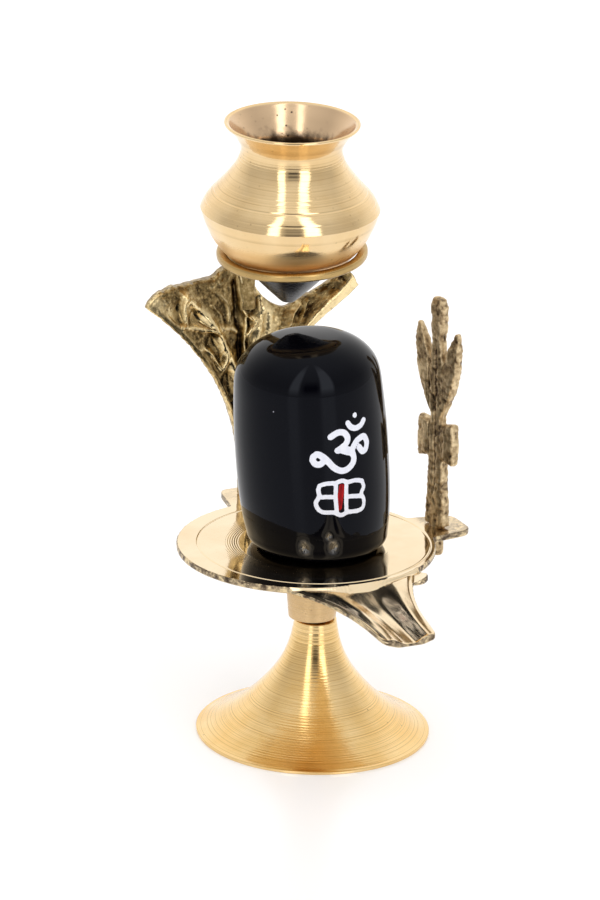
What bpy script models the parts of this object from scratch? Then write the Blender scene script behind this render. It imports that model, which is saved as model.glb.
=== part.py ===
"""Brass temple stand with a black stone lingam, a water pot, a cobra hood and a trident.

Metres, +Z up. The spout points along -Y, the hood stands at +Y and the trident at +X.
The origin is under the middle of the whole stand's box, at the foot's underside.
"""

import math

import bmesh
import bpy
from mathutils import Matrix, Vector

MM = 0.001
OBJECT_NAME = "shiva_lingam"

# Fits
CONTACT_GAP = 0.3 * MM
MERGE_DISTANCE = 0.01 * MM
JOIN_INSET = 0.05 * MM

# Foot: a turned trumpet, hollow beneath
FOOT_RADIUS = 28.5 * MM
FOOT_EDGE_HEIGHT = 0.7 * MM
FOOT_WALL = 1.8 * MM
FOOT_HOLLOW_HEIGHT = 13.5 * MM
NECK_RADIUS = 5.1 * MM
FOOT_HEIGHT = 29.5 * MM
FOOT_FLARE = ((0.944, 0.036), (0.808, 0.09), (0.636, 0.18), (0.466, 0.295), (0.338, 0.405),
              (0.231, 0.51), (0.145, 0.615), (0.081, 0.725), (0.038, 0.835), (0.013, 0.94))

# Boss under the dish
BOSS_LOWER_RADIUS = 5.8 * MM
BOSS_UPPER_RADIUS = 7.3 * MM
BOSS_HEIGHT = 18.7 * MM
BOSS_COLLAR = 0.5 * MM
BOSS_SHIFT = Vector((-0.75 * MM, 0.35 * MM, 0.0))

# Dish: a flat plate with its outline set a little to one side of the turned face
DISH_RADIUS = 31.5 * MM
DISH_THICKNESS = 1.5 * MM
DISH_SHIFT = Vector((-1.7 * MM, 0.7 * MM, 0.0))
DISH_STEPS = 56
DISH_TILT_BACK = math.radians(1.4)
DISH_TILT_SIDE = math.radians(0.4)
BACK_LUG_ANGLE = math.radians(90.0)
BACK_LUG_REACH = 43.5 * MM
BACK_LUG_WIDTH = 13.0 * MM
SIDE_LUG_ANGLE = math.radians(1.0)
SIDE_LUG_REACH = 40.3 * MM
SIDE_LUG_WIDTH = 12.0 * MM
LUG_CORNER = 3.0 * MM
LUG_ROOT_SPREAD = 1.5

# Spout: a shallow open channel that runs down from the dish
SPOUT_LENGTH = 60.0 * MM
SPOUT_DROP = 2.8 * MM
SPOUT_END_WIDTH = 14.2 * MM
SPOUT_ROOT_WIDTH = 37.0 * MM
SPOUT_ROOT_REACH = 24.0 * MM
SPOUT_THICKNESS = 1.7 * MM
SPOUT_EDGE_ROUND = 0.3 * MM
SPOUT_EDGE_WIDTH = 0.5 * MM
SPOUT_ROWS = 7
CHANNEL_DEPTH = 1.6 * MM
CHANNEL_SIDE_SHARE = 0.22
EAR_REACH = 32.6 * MM
EAR_SIDE = 17.2 * MM
EAR_RADIUS = 2.6 * MM
EAR_THICKNESS = 3.0 * MM
EAR_ARC = (-120.0, 60.0)

# Lingam: a round-topped stone that leans, with its base cut level
LINGAM_RADIUS = 18.4 * MM
LINGAM_SHIFT = Vector((0.9 * MM, -0.3 * MM, 0.0))
LINGAM_SHOULDER_RADIUS = 17.7 * MM
LINGAM_HEIGHT = 52.9 * MM
LINGAM_TOP_ROUND = 10.0 * MM
LINGAM_TOP_CROWN = 2.2 * MM
LINGAM_TOP_PIECES = 8
LINGAM_BASE_ROUND = 3.4 * MM
LINGAM_BASE_RADIUS = 17.2 * MM
LINGAM_WIDEST_HEIGHT = 17.0 * MM
LINGAM_LEAN = math.radians(4.6)
LINGAM_LEAN_TOWARDS = math.radians(155.0)

# Cobra hood
HOOD_TIP_HEIGHT = 51.5 * MM
HOOD_STEM_HALF_WIDTH = 3.5 * MM
HOOD_HALF_WIDTH = 29.0 * MM
HOOD_SPREAD_POWER = 2.5
HOOD_THICKNESS = 2.6 * MM
HOOD_LEAN_BACK = 7.6 * MM
HOOD_WINGS_FORWARD = 6.5 * MM
HOOD_STAND_BACK = 5.8 * MM
HOOD_SIDE = 0.4 * MM
HOOD_BORDER_HEIGHT = 0.9 * MM
HOOD_RIB_HEIGHT = 1.1 * MM
HOOD_RIDGE_HEIGHT = 1.3 * MM
HOOD_TOP_LINE = ((-1.0, -0.4), (-0.93, 1.7), (-0.74, 3.2), (-0.52, 3.2), (-0.32, 4.0),
                 (-0.16, 6.6), (0.0, 3.8), (0.16, -2.6), (0.33, -6.2), (0.44, -5.6),
                 (0.58, -2.2), (0.76, 0.2), (0.92, 2.6), (1.0, -0.4))
HOOD_COLUMNS = 24
HOOD_ROWS = 16
CREST_HEIGHT = 4.0 * MM
CREST_WIDTH = 6.4 * MM
CREST_DEPTH = 6.0 * MM
CREST_SIDE = -0.4 * MM

# Ring that holds the pot, with its arm
RING_RADIUS = 18.3 * MM
RING_BAND = 2.4 * MM
RING_HEIGHT = 2.0 * MM
RING_CORNER = 0.7 * MM
RING_TILT = math.radians(3.2)
RING_TILT_TOWARDS = math.radians(200.0)
RING_RISE = 9.5 * MM
RING_REACH = 29.0 * MM
RING_SIDE = 0.4 * MM
ARM_WIDTH = 6.0 * MM
ARM_THICKNESS = 2.0 * MM
ARM_SAG = 0.6 * MM

# Pot: heights run down from its rim
POT_HEIGHT = 45.3 * MM
POT_WALL = 1.2 * MM
POT_LIP_RADIUS = 16.4 * MM
POT_LIP_EDGE = 1.3 * MM
POT_NECK_RADIUS = 12.3 * MM
POT_NECK_DEPTH = 6.4 * MM
POT_SHOULDER_RADIUS = 18.9 * MM
POT_SHOULDER_DEPTH = 17.3 * MM
POT_BELLY_RADIUS = 21.7 * MM
POT_BELLY_DEPTH = 21.6 * MM
POT_BALL_EXTRA = 0.5 * MM
POT_BALL_DROP = 14.6 * MM
POT_BALL_RADIUS = POT_BELLY_RADIUS + POT_BALL_EXTRA
POT_BALL_CENTRE_DEPTH = POT_BELLY_DEPTH - math.sqrt(POT_BALL_RADIUS ** 2 - POT_BELLY_RADIUS ** 2)
POT_BALL_END_DEPTH = POT_BELLY_DEPTH + POT_BALL_DROP
POT_TIP_RADIUS = 2.4 * MM
POT_SIDE = Vector((-0.9 * MM, -0.3 * MM, 0.0))

# Trident, its drum and its tang
TRIDENT_REACH = 33.4 * MM
TRIDENT_TURN = math.radians(13.0)
TRIDENT_HEIGHT = 58.2 * MM
TRIDENT_LEAN = math.radians(1.3)
TRIDENT_THICKNESS = 3.0 * MM
STEM_WIDTH = 7.6 * MM
STEM_WAIST_WIDTH = 4.4 * MM
STEM_HEIGHT = 15.2 * MM
DRUM_WIDTH = 13.8 * MM
DRUM_END_HEIGHT = 11.0 * MM
DRUM_MIDDLE_HEIGHT = 9.0 * MM
DRUM_THICKNESS = 3.2 * MM
PRONG_SPREAD = 15.8 * MM
HEAD_WIDTH = 4.8 * MM
PRONG_WIDTH = 5.4 * MM
PRONG_BASE_HEIGHT = 29.7 * MM
SIDE_PRONG_TOP = 50.7 * MM
TANG_RADIUS = 1.7 * MM
TANG_LENGTH = 6.0 * MM
TANG_CLEARANCE = 0.3 * MM
TANG_SIDES = 12
TANG_ARC = (0.0, 360.0 - 360.0 / TANG_SIDES)

TURNED_STEPS = 36


def smooth_line(points, pieces):
    """Points on a smooth curve through the given ones, with so many pieces between each two."""
    result = []
    last = len(points) - 1
    for index in range(last):
        before = points[max(index - 1, 0)]
        here = points[index]
        after = points[index + 1]
        beyond = points[min(index + 2, last)]
        for piece in range(pieces):
            share = piece / pieces
            result.append(tuple(
                0.5 * (2 * b + (c - a) * share + (2 * a - 5 * b + 4 * c - d) * share ** 2
                       + (3 * b - a - 3 * c + d) * share ** 3)
                for a, b, c, d in zip(before, here, after, beyond)))
    result.append(tuple(points[last]))
    return result


def value_along(line, place):
    """Height of a line of (place, height) points at one place, by straight pieces."""
    for (x0, y0), (x1, y1) in zip(line, line[1:]):
        if place <= x1:
            return y0 + (y1 - y0) * (place - x0) / (x1 - x0)
    return line[-1][1]


def blend(low, high, share):
    return low + (high - low) * share


def smooth_step(low, high, value):
    share = min(max((value - low) / (high - low), 0.0), 1.0)
    return share * share * (3 - 2 * share)


def make_material(name, colour, metallic, roughness):
    material = bpy.data.materials.new(name)
    material.use_nodes = True
    shader = material.node_tree.nodes["Principled BSDF"]
    shader.inputs["Base Color"].default_value = (*colour, 1.0)
    shader.inputs["Metallic"].default_value = metallic
    shader.inputs["Roughness"].default_value = roughness
    return material


def add_object(name, mesh, collection, material=None):
    thing = bpy.data.objects.new(name, mesh)
    collection.objects.link(thing)
    if material:
        mesh.materials.append(material)
    return thing


def mark_cutter(thing):
    thing.hide_render = True
    thing.display_type = "WIRE"
    return thing


def smooth_shading(mesh):
    mesh.shade_smooth()
    mesh.set_sharp_from_angle(angle=math.radians(35))


def turned(name, profile, collection, material=None):
    """A profile of (radius, height) points, top to bottom on its outer side, turned about Z."""
    mesh = bpy.data.meshes.new(name)
    vertices = [(radius, 0.0, height) for radius, height in profile]
    mesh.from_pydata(vertices, [(i, i + 1) for i in range(len(vertices) - 1)], [])
    thing = add_object(name, mesh, collection, material)
    screw = thing.modifiers.new("turn", "SCREW")
    screw.steps = TURNED_STEPS
    screw.render_steps = TURNED_STEPS
    screw.use_merge_vertices = True
    screw.merge_threshold = MERGE_DISTANCE
    screw.use_smooth_shade = True
    return thing


def loft(name, sections, collection, material=None):
    """A closed body through rings of points, all with as many points and turning the same way."""
    shape = bmesh.new()
    rings = [[shape.verts.new(point) for point in section] for section in sections]
    for lower, upper in zip(rings, rings[1:]):
        for index, vertex in enumerate(lower):
            following = (index + 1) % len(lower)
            shape.faces.new((vertex, lower[following], upper[following], upper[index]))
    shape.faces.new(list(reversed(rings[0])))
    shape.faces.new(rings[-1])
    bmesh.ops.triangulate(shape, faces=shape.faces[:], ngon_method="BEAUTY")
    bmesh.ops.recalc_face_normals(shape, faces=shape.faces[:])
    mesh = bpy.data.meshes.new(name)
    shape.to_mesh(mesh)
    shape.free()
    smooth_shading(mesh)
    return add_object(name, mesh, collection, material)


def slab(name, outline, low, high, collection, material=None):
    """A flat outline of (x, y) points, raised from one height to another."""
    sections = [[(x, y, height) for x, y in outline] for height in (low, high)]
    return loft(name, sections, collection, material)


def join_solid(thing, other, operation="UNION"):
    step = thing.modifiers.new(operation.lower() + "_" + other.name, "BOOLEAN")
    step.operation = operation
    step.object = other
    mark_cutter(other)


def rounded_rectangle(half_width, half_depth, corner, pieces=2):
    """Points round a rectangle with round corners, anticlockwise."""
    points = []
    for quarter, (sign_x, sign_y) in enumerate(((1, 1), (-1, 1), (-1, -1), (1, -1))):
        for piece in range(pieces + 1):
            angle = math.pi / 2 * (quarter + piece / pieces)
            points.append((sign_x * (half_width - corner) + corner * math.cos(angle),
                           sign_y * (half_depth - corner) + corner * math.sin(angle)))
    return points


def arc(centre, radius, start, end, pieces):
    """Points round an arc, from its start angle to its end angle in degrees."""
    angles = [math.radians(blend(start, end, index / pieces)) for index in range(pieces + 1)]
    return [(centre[0] + radius * math.cos(a), centre[1] + radius * math.sin(a)) for a in angles]


def circle(radius, height=0.0):
    """Points round a level circle on the Z axis, as many as a turned piece has."""
    angles = [2 * math.pi * step / TURNED_STEPS for step in range(TURNED_STEPS)]
    return [Vector((radius * math.cos(a), radius * math.sin(a), height)) for a in angles]


def lean_towards(lean, heading):
    """Turns the Z axis by the lean, towards a heading in the XY plane."""
    return Matrix.Rotation(lean, 4, Vector((-math.sin(heading), math.cos(heading), 0.0)))


def foot_profile():
    """From the neck's top down the flare, under the edge and up inside the hollow."""
    flare = [(1.0, FOOT_EDGE_HEIGHT / FOOT_HEIGHT)] + list(FOOT_FLARE) + [(0.0, 1.0)]
    outer = [(blend(NECK_RADIUS, FOOT_RADIUS, share), height * FOOT_HEIGHT)
             for share, height in flare]
    inner = [(max(radius - FOOT_WALL, 0.0), height - FOOT_WALL * 0.5) for radius, height in outer
             if FOOT_WALL * 0.5 < height < FOOT_HOLLOW_HEIGHT]
    outside = [(0.0, FOOT_HEIGHT)] + list(reversed(outer)) + [(FOOT_RADIUS, 0.0)]
    hollow = [(FOOT_RADIUS - FOOT_WALL * 0.7, 0.0)] + inner
    ceiling = hollow[-1][1] + FOOT_WALL
    return outside + hollow + [(hollow[-1][0] * 0.6, ceiling), (0.0, ceiling)]


def build_foot(parts, material):
    return turned("foot", foot_profile(), parts, material)


def lug_outline(angle, reach, width, inner):
    """A tongue from inside the dish out to its reach, with round outer corners."""
    along = Vector((math.cos(angle), math.sin(angle)))
    across = Vector((-along.y, along.x))
    half = width / 2
    corner = (reach - LUG_CORNER, half - LUG_CORNER)
    points = [(inner, -half * LUG_ROOT_SPREAD)]
    points += arc((corner[0], -corner[1]), LUG_CORNER, -90, 0, 3)
    points += arc(corner, LUG_CORNER, 0, 90, 3)
    points += [(inner, half * LUG_ROOT_SPREAD)]
    return [tuple(along * u + across * v) for u, v in points]


def spout_sections():
    """Rings of the channel from inside the dish to the spout's end, each a cut across the spout."""
    sections = []
    for row in range(SPOUT_ROWS):
        share = row / (SPOUT_ROWS - 1)
        reach = blend(SPOUT_ROOT_REACH, SPOUT_LENGTH, share)
        spread = (1 - share) ** 2.2
        half = blend(SPOUT_END_WIDTH, SPOUT_ROOT_WIDTH, spread) / 2
        drop = SPOUT_DROP * share ** 1.6
        depth = CHANNEL_DEPTH * smooth_step(0.0, 0.45, share)
        lip = half * (1 - CHANNEL_SIDE_SHARE)
        right = [(half, -SPOUT_EDGE_ROUND), (half - SPOUT_EDGE_WIDTH, 0.0),
                 (lip, -SPOUT_EDGE_ROUND / 2), (lip * 0.45, -depth * 0.7)]
        top = right + [(0.0, -depth)] + [(-x, z) for x, z in reversed(right)]
        thickness = blend(DISH_THICKNESS, SPOUT_THICKNESS, smooth_step(0.2, 0.8, share))
        under = [(-half + SPOUT_EDGE_WIDTH, -thickness), (-half * 0.45, -thickness - depth * 0.6),
                 (half * 0.45, -thickness - depth * 0.6), (half - SPOUT_EDGE_WIDTH, -thickness)]
        sections.append([(x, -reach, z - drop) for x, z in top + under])
    return sections


def dish_place():
    """Where the dish casting's own frame stands: on the neck, tipped a little."""
    lift = CONTACT_GAP + BOSS_LOWER_RADIUS * math.sin(DISH_TILT_BACK + DISH_TILT_SIDE)
    tip = Matrix.Rotation(DISH_TILT_SIDE, 4, "Y") @ Matrix.Rotation(-DISH_TILT_BACK, 4, "X")
    return Matrix.Translation(BOSS_SHIFT + Vector((0.0, 0.0, FOOT_HEIGHT + lift))) @ tip


def build_dish(parts, guides, material, place):
    """The yoni dish with its boss, lugs and spout, one casting. Its frame starts at the boss's foot."""
    top = BOSS_HEIGHT
    low = top - DISH_THICKNESS
    middle = (top + low) / 2
    outline = arc(DISH_SHIFT.xy, DISH_RADIUS, 0, 360 - 360 / DISH_STEPS, DISH_STEPS - 1)
    dish = slab("yoni_plate", outline, low, top, parts, material)
    boss = turned("boss", [(0.0, middle), (BOSS_UPPER_RADIUS, middle),
                           (BOSS_UPPER_RADIUS, low - BOSS_COLLAR), (BOSS_LOWER_RADIUS, 0.0),
                           (0.0, 0.0)], guides)
    lug_inner = DISH_RADIUS * 0.6
    inset = JOIN_INSET
    back = slab("back_lug", lug_outline(BACK_LUG_ANGLE, BACK_LUG_REACH, BACK_LUG_WIDTH, lug_inner),
                low + inset, top - inset, guides)
    side = slab("side_lug", lug_outline(SIDE_LUG_ANGLE, SIDE_LUG_REACH, SIDE_LUG_WIDTH, lug_inner),
                low + inset, top - inset, guides)
    spout = loft("spout", spout_sections(), guides)
    spout.location = (DISH_SHIFT.x, DISH_SHIFT.y, top - 2 * inset)
    ear_centre = (DISH_SHIFT.x + EAR_SIDE - EAR_RADIUS, DISH_SHIFT.y - EAR_REACH + EAR_RADIUS)
    ear_outline = arc(ear_centre, EAR_RADIUS, *EAR_ARC, 6) + [
        (ear_centre[0] - EAR_SIDE * 0.6, ear_centre[1] + EAR_REACH * 0.3),
        (ear_centre[0] - EAR_SIDE * 0.6, ear_centre[1] - EAR_RADIUS * 0.6)]
    ear = slab("ear", ear_outline, top - EAR_THICKNESS, top - 3 * inset, guides)
    hole_centre = Vector((math.cos(SIDE_LUG_ANGLE), math.sin(SIDE_LUG_ANGLE), 0.0)) * TRIDENT_REACH
    hole = slab("tang_hole", arc(hole_centre, TANG_RADIUS + TANG_CLEARANCE, *TANG_ARC, TANG_SIDES - 1),
                low - DISH_THICKNESS, top + DISH_THICKNESS, guides)
    for piece in (boss, back, side, spout, ear):
        join_solid(dish, piece)
    join_solid(dish, hole, "DIFFERENCE")
    for piece in (dish, boss, back, side, spout, ear, hole):
        piece.matrix_world = place @ piece.matrix_basis
    return dish


def lingam_profile():
    """Radius and height along the stone's own axis, from its crown to below its level base."""
    side_top = LINGAM_HEIGHT - LINGAM_TOP_ROUND
    profile = [(LINGAM_RADIUS * 0.12, LINGAM_HEIGHT)]
    for piece in range(1, LINGAM_TOP_PIECES + 1):
        angle = math.pi / 2 * (1 - piece / LINGAM_TOP_PIECES)
        radius = LINGAM_SHOULDER_RADIUS - LINGAM_TOP_ROUND * (1 - math.cos(angle))
        crown = LINGAM_TOP_CROWN * (radius / LINGAM_SHOULDER_RADIUS) ** 2
        profile.append((radius, side_top + (LINGAM_TOP_ROUND - crown) * math.sin(angle)))
    profile.append((LINGAM_RADIUS, blend(LINGAM_WIDEST_HEIGHT, side_top, 0.5)))
    profile.append((LINGAM_RADIUS, LINGAM_WIDEST_HEIGHT))
    profile.append((blend(LINGAM_BASE_RADIUS, LINGAM_RADIUS, 0.6), LINGAM_WIDEST_HEIGHT * 0.5))
    for angle in (0, 25, 50, 75, 90):
        turn = math.radians(angle)
        profile.append((LINGAM_BASE_RADIUS - LINGAM_BASE_ROUND * (1 - math.cos(turn)),
                        LINGAM_BASE_ROUND * (1 - math.sin(turn))))
    return profile


def build_lingam(parts, material, place):
    """The stone: rings that start level on the dish and end square to the leaning axis."""
    axis = lean_towards(LINGAM_LEAN, LINGAM_LEAN_TOWARDS) @ Vector((0.0, 0.0, 1.0))
    sections = []
    for radius, height in reversed(lingam_profile()):
        lean = LINGAM_LEAN * smooth_step(0.0, 0.5, height / LINGAM_HEIGHT)
        tilt = lean_towards(lean, LINGAM_LEAN_TOWARDS)
        sections.append([axis * height + tilt @ point for point in circle(radius)])
    stone = loft("lingam", sections, parts, material)
    on_dish = LINGAM_SHIFT + Vector((0.0, 0.0, BOSS_HEIGHT + CONTACT_GAP))
    stone.matrix_world = place @ Matrix.Translation(on_dish)
    return stone


def hood_half_width(rise):
    return blend(HOOD_STEM_HALF_WIDTH, HOOD_HALF_WIDTH, rise ** HOOD_SPREAD_POWER)


def hood_point(side, rise, top_line):
    """A point on the hood's front, from its stem (rise 0) to its top line (rise 1)."""
    height = HOOD_TIP_HEIGHT * rise + value_along(top_line, side) * MM * rise ** 4
    back = HOOD_LEAN_BACK * rise ** 1.5
    forward = HOOD_WINGS_FORWARD * side * side * rise ** 2
    return Vector((side * hood_half_width(rise), back - forward, height))


def hood_relief(side, rise):
    """How far the carving stands out of the hood's front."""
    spread = smooth_step(0.12, 0.5, rise)
    out = abs(side)
    border = HOOD_BORDER_HEIGHT * smooth_step(0.86, 0.97, out)
    rib = HOOD_RIB_HEIGHT * math.exp(-((out - 0.52) / 0.07) ** 2)
    ridge = HOOD_RIDGE_HEIGHT * math.exp(-(side / 0.07) ** 2)
    return (border + rib + ridge) * spread


def build_hood(parts, guides, material, place):
    """The hood: level rings from the stem up, carved in front and plain behind."""
    top_line = smooth_line(HOOD_TOP_LINE, 3)
    sections = []
    for row in range(HOOD_ROWS + 1):
        rise = row / HOOD_ROWS
        front = []
        rear = []
        for column in range(HOOD_COLUMNS + 1):
            side = -1 + 2 * column / HOOD_COLUMNS
            point = hood_point(side, rise, top_line)
            edge = 1 - 0.55 * abs(side) ** 6
            depth = blend(2.2, 1.0, smooth_step(0.0, 0.45, rise)) * HOOD_THICKNESS * edge
            front.append(point + Vector((0.0, -depth / 2 - hood_relief(side, rise), 0.0)))
            rear.append(point + Vector((0.0, depth / 2, 0.0)))
        sections.append(front + list(reversed(rear)))
    hood = loft("naga_hood", sections, parts, material)
    crest_low = hood_point(CREST_SIDE / HOOD_HALF_WIDTH, 0.86, top_line)
    crest_top = hood_crest(top_line)
    crest = []
    for share in (0.0, 0.5, 1.0):
        middle = crest_low.lerp(crest_top, share)
        grow = blend(0.7, 1.0, share)
        crest.append([(middle.x + x * grow, middle.y + y * blend(0.4, 1.0, share), middle.z)
                      for x, y in rounded_rectangle(CREST_WIDTH / 2, CREST_DEPTH / 2, CREST_DEPTH / 4)])
    join_solid(hood, loft("crest", crest, guides))
    on_lug = Vector((HOOD_SIDE, BACK_LUG_REACH - HOOD_STAND_BACK, BOSS_HEIGHT + CONTACT_GAP))
    hood_place = place @ Matrix.Translation(on_lug)
    for piece in (hood, guides.objects["crest"]):
        piece.matrix_world = hood_place
    return hood_place @ crest_top


def hood_crest(top_line):
    """The flat top of the crest, where the ring's arm lies."""
    top = hood_point(CREST_SIDE / HOOD_HALF_WIDTH, 1.0, top_line)
    return Vector((CREST_SIDE, top.y + CREST_DEPTH / 5, top.z + CREST_HEIGHT))


def build_ring(parts, guides, material, crest):
    """The ring and its arm, as it lies on the hood's crest."""
    profile = list(reversed(ring_band()))
    ring = turned("pot_ring", profile + profile[:1], parts, material)
    centre = ring_centre(crest)
    tilt = lean_towards(RING_TILT, RING_TILT_TOWARDS)
    ring.matrix_world = Matrix.Translation(centre) @ tilt
    start = centre + tilt @ Vector((crest.x - centre.x, RING_RADIUS - RING_BAND * 0.45, 0.0))
    on_crest = crest + Vector((0.0, 0.0, CONTACT_GAP + ARM_THICKNESS / 2))
    sag = Vector((0.0, 0.0, -ARM_SAG))
    path = [on_crest + Vector((0.0, CREST_DEPTH * 0.4, 0.0)),
            on_crest - Vector((0.0, CREST_DEPTH * 0.45, 0.0)),
            on_crest.lerp(start, 0.72) + sag, start]
    sections = []
    for index, point in enumerate(path):
        before = path[max(index - 1, 0)]
        after = path[min(index + 1, len(path) - 1)]
        along = (after - before).normalized()
        up = Vector((1.0, 0.0, 0.0)).cross(along)
        up = up if up.z > 0 else -up
        sections.append([point + Vector((x, 0.0, 0.0)) + up * z for x, z in
                         rounded_rectangle(ARM_WIDTH / 2, ARM_THICKNESS / 2, ARM_THICKNESS / 4, 1)])
    join_solid(ring, loft("arm", sections, guides))
    return centre, tilt


def ring_band():
    """The ring's cross-section as (radius, height) about its middle plane."""
    mean = RING_RADIUS - RING_BAND / 2
    section = rounded_rectangle(RING_BAND / 2, RING_HEIGHT / 2, RING_CORNER)
    return [(mean + x, y) for x, y in section]


def ring_centre(crest):
    return Vector((RING_SIDE, crest.y - RING_REACH, crest.z + RING_RISE))


def pot_ball(depth):
    """Radius of the pot's ball-shaped bowl at a depth between its belly and its cone."""
    return math.sqrt(POT_BALL_RADIUS ** 2 - (depth - POT_BALL_CENTRE_DEPTH) ** 2)


def pot_outer():
    """The pot's outside as (radius, depth below the rim), from the lip down to the tip."""
    lip = [(POT_LIP_RADIUS - POT_WALL, 0.0), (POT_LIP_RADIUS, POT_LIP_EDGE * 0.4),
           (POT_LIP_RADIUS - POT_LIP_EDGE * 0.3, POT_LIP_EDGE)]
    neck = [(POT_NECK_RADIUS + 1.1 * MM, POT_NECK_DEPTH * 0.48), (POT_NECK_RADIUS, POT_NECK_DEPTH),
            (POT_NECK_RADIUS + 0.9 * MM, POT_NECK_DEPTH + 3.6 * MM)]
    run = POT_SHOULDER_DEPTH - neck[-1][1]
    rise = POT_SHOULDER_RADIUS - neck[-1][0]
    shoulder = [(neck[-1][0] + rise * 0.46, neck[-1][1] + run * 0.52),
                (POT_SHOULDER_RADIUS, POT_SHOULDER_DEPTH)]
    upper = smooth_line(lip[2:] + neck + shoulder, 2)
    step = [(POT_SHOULDER_RADIUS + 0.25 * MM, POT_SHOULDER_DEPTH + 0.6 * MM)]
    belly = [(blend(POT_SHOULDER_RADIUS, POT_BELLY_RADIUS, 0.72),
              blend(POT_SHOULDER_DEPTH, POT_BELLY_DEPTH, 0.62)),
             (POT_BELLY_RADIUS, POT_BELLY_DEPTH)]
    depths = [blend(POT_BELLY_DEPTH, POT_BALL_END_DEPTH, index / 3) for index in (1, 2, 3)]
    bowl = smooth_line(step + belly + [(pot_ball(depth), depth) for depth in depths], 2)
    cone = [(pot_ball(POT_BALL_END_DEPTH) - 0.8 * MM, POT_BALL_END_DEPTH + 0.65 * MM),
            (POT_TIP_RADIUS, POT_HEIGHT - POT_TIP_RADIUS * 0.25),
            (POT_TIP_RADIUS * 0.7, POT_HEIGHT)]
    return lip[:2] + upper + bowl + cone


def pot_inner(outer):
    """The inside as (radius, depth), from the axis at the bottom up to the lip's inner edge."""
    sloped_wall = POT_WALL * 1.35
    down = [(radius - sloped_wall, depth) for radius, depth in outer[3:-3:2]]
    floor_depth = blend(POT_BALL_END_DEPTH, POT_HEIGHT, 0.3)
    floor_radius = blend(pot_ball(POT_BALL_END_DEPTH), POT_TIP_RADIUS, 0.3) - sloped_wall
    return [(0.0, floor_depth)] + [(floor_radius, floor_depth)] + list(reversed(down))


def lowest_fit(outer, band_points, axis_point):
    """Lowest height for the pot's tip with the whole bowl clear of the ring."""
    bowl = [(radius, POT_HEIGHT - depth) for radius, depth in reversed(outer) if depth >= POT_BELLY_DEPTH]
    height = 0.0
    for point in band_points:
        room = (point - axis_point).xy.length - CONTACT_GAP
        height = max(height, point.z - value_along(bowl, room))
    return height


def build_pot(parts, material, centre, tilt):
    """The pot, hollow and open at the top, as it sits in the ring."""
    outer = pot_outer()
    whole = pot_inner(outer) + outer + [(0.0, POT_HEIGHT)]
    pot = turned("kalash", [(radius, POT_HEIGHT - depth) for radius, depth in whole], parts, material)
    points = [centre + tilt @ point for radius, height in ring_band() for point in circle(radius, height)]
    axis_point = centre + POT_SIDE
    pot.location = (axis_point.x, axis_point.y, lowest_fit(outer, points, axis_point))
    return pot


def blade(name, stations, collection, material=None):
    """An upright cast bar through (height, middle, half width, half thickness) stations."""
    sections = [[(x, middle + y, height) for x, y in
                 rounded_rectangle(thick, half, min(thick, half) * 0.7, 2)]
                for height, middle, half, thick in stations]
    return loft(name, sections, collection, material)


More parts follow.
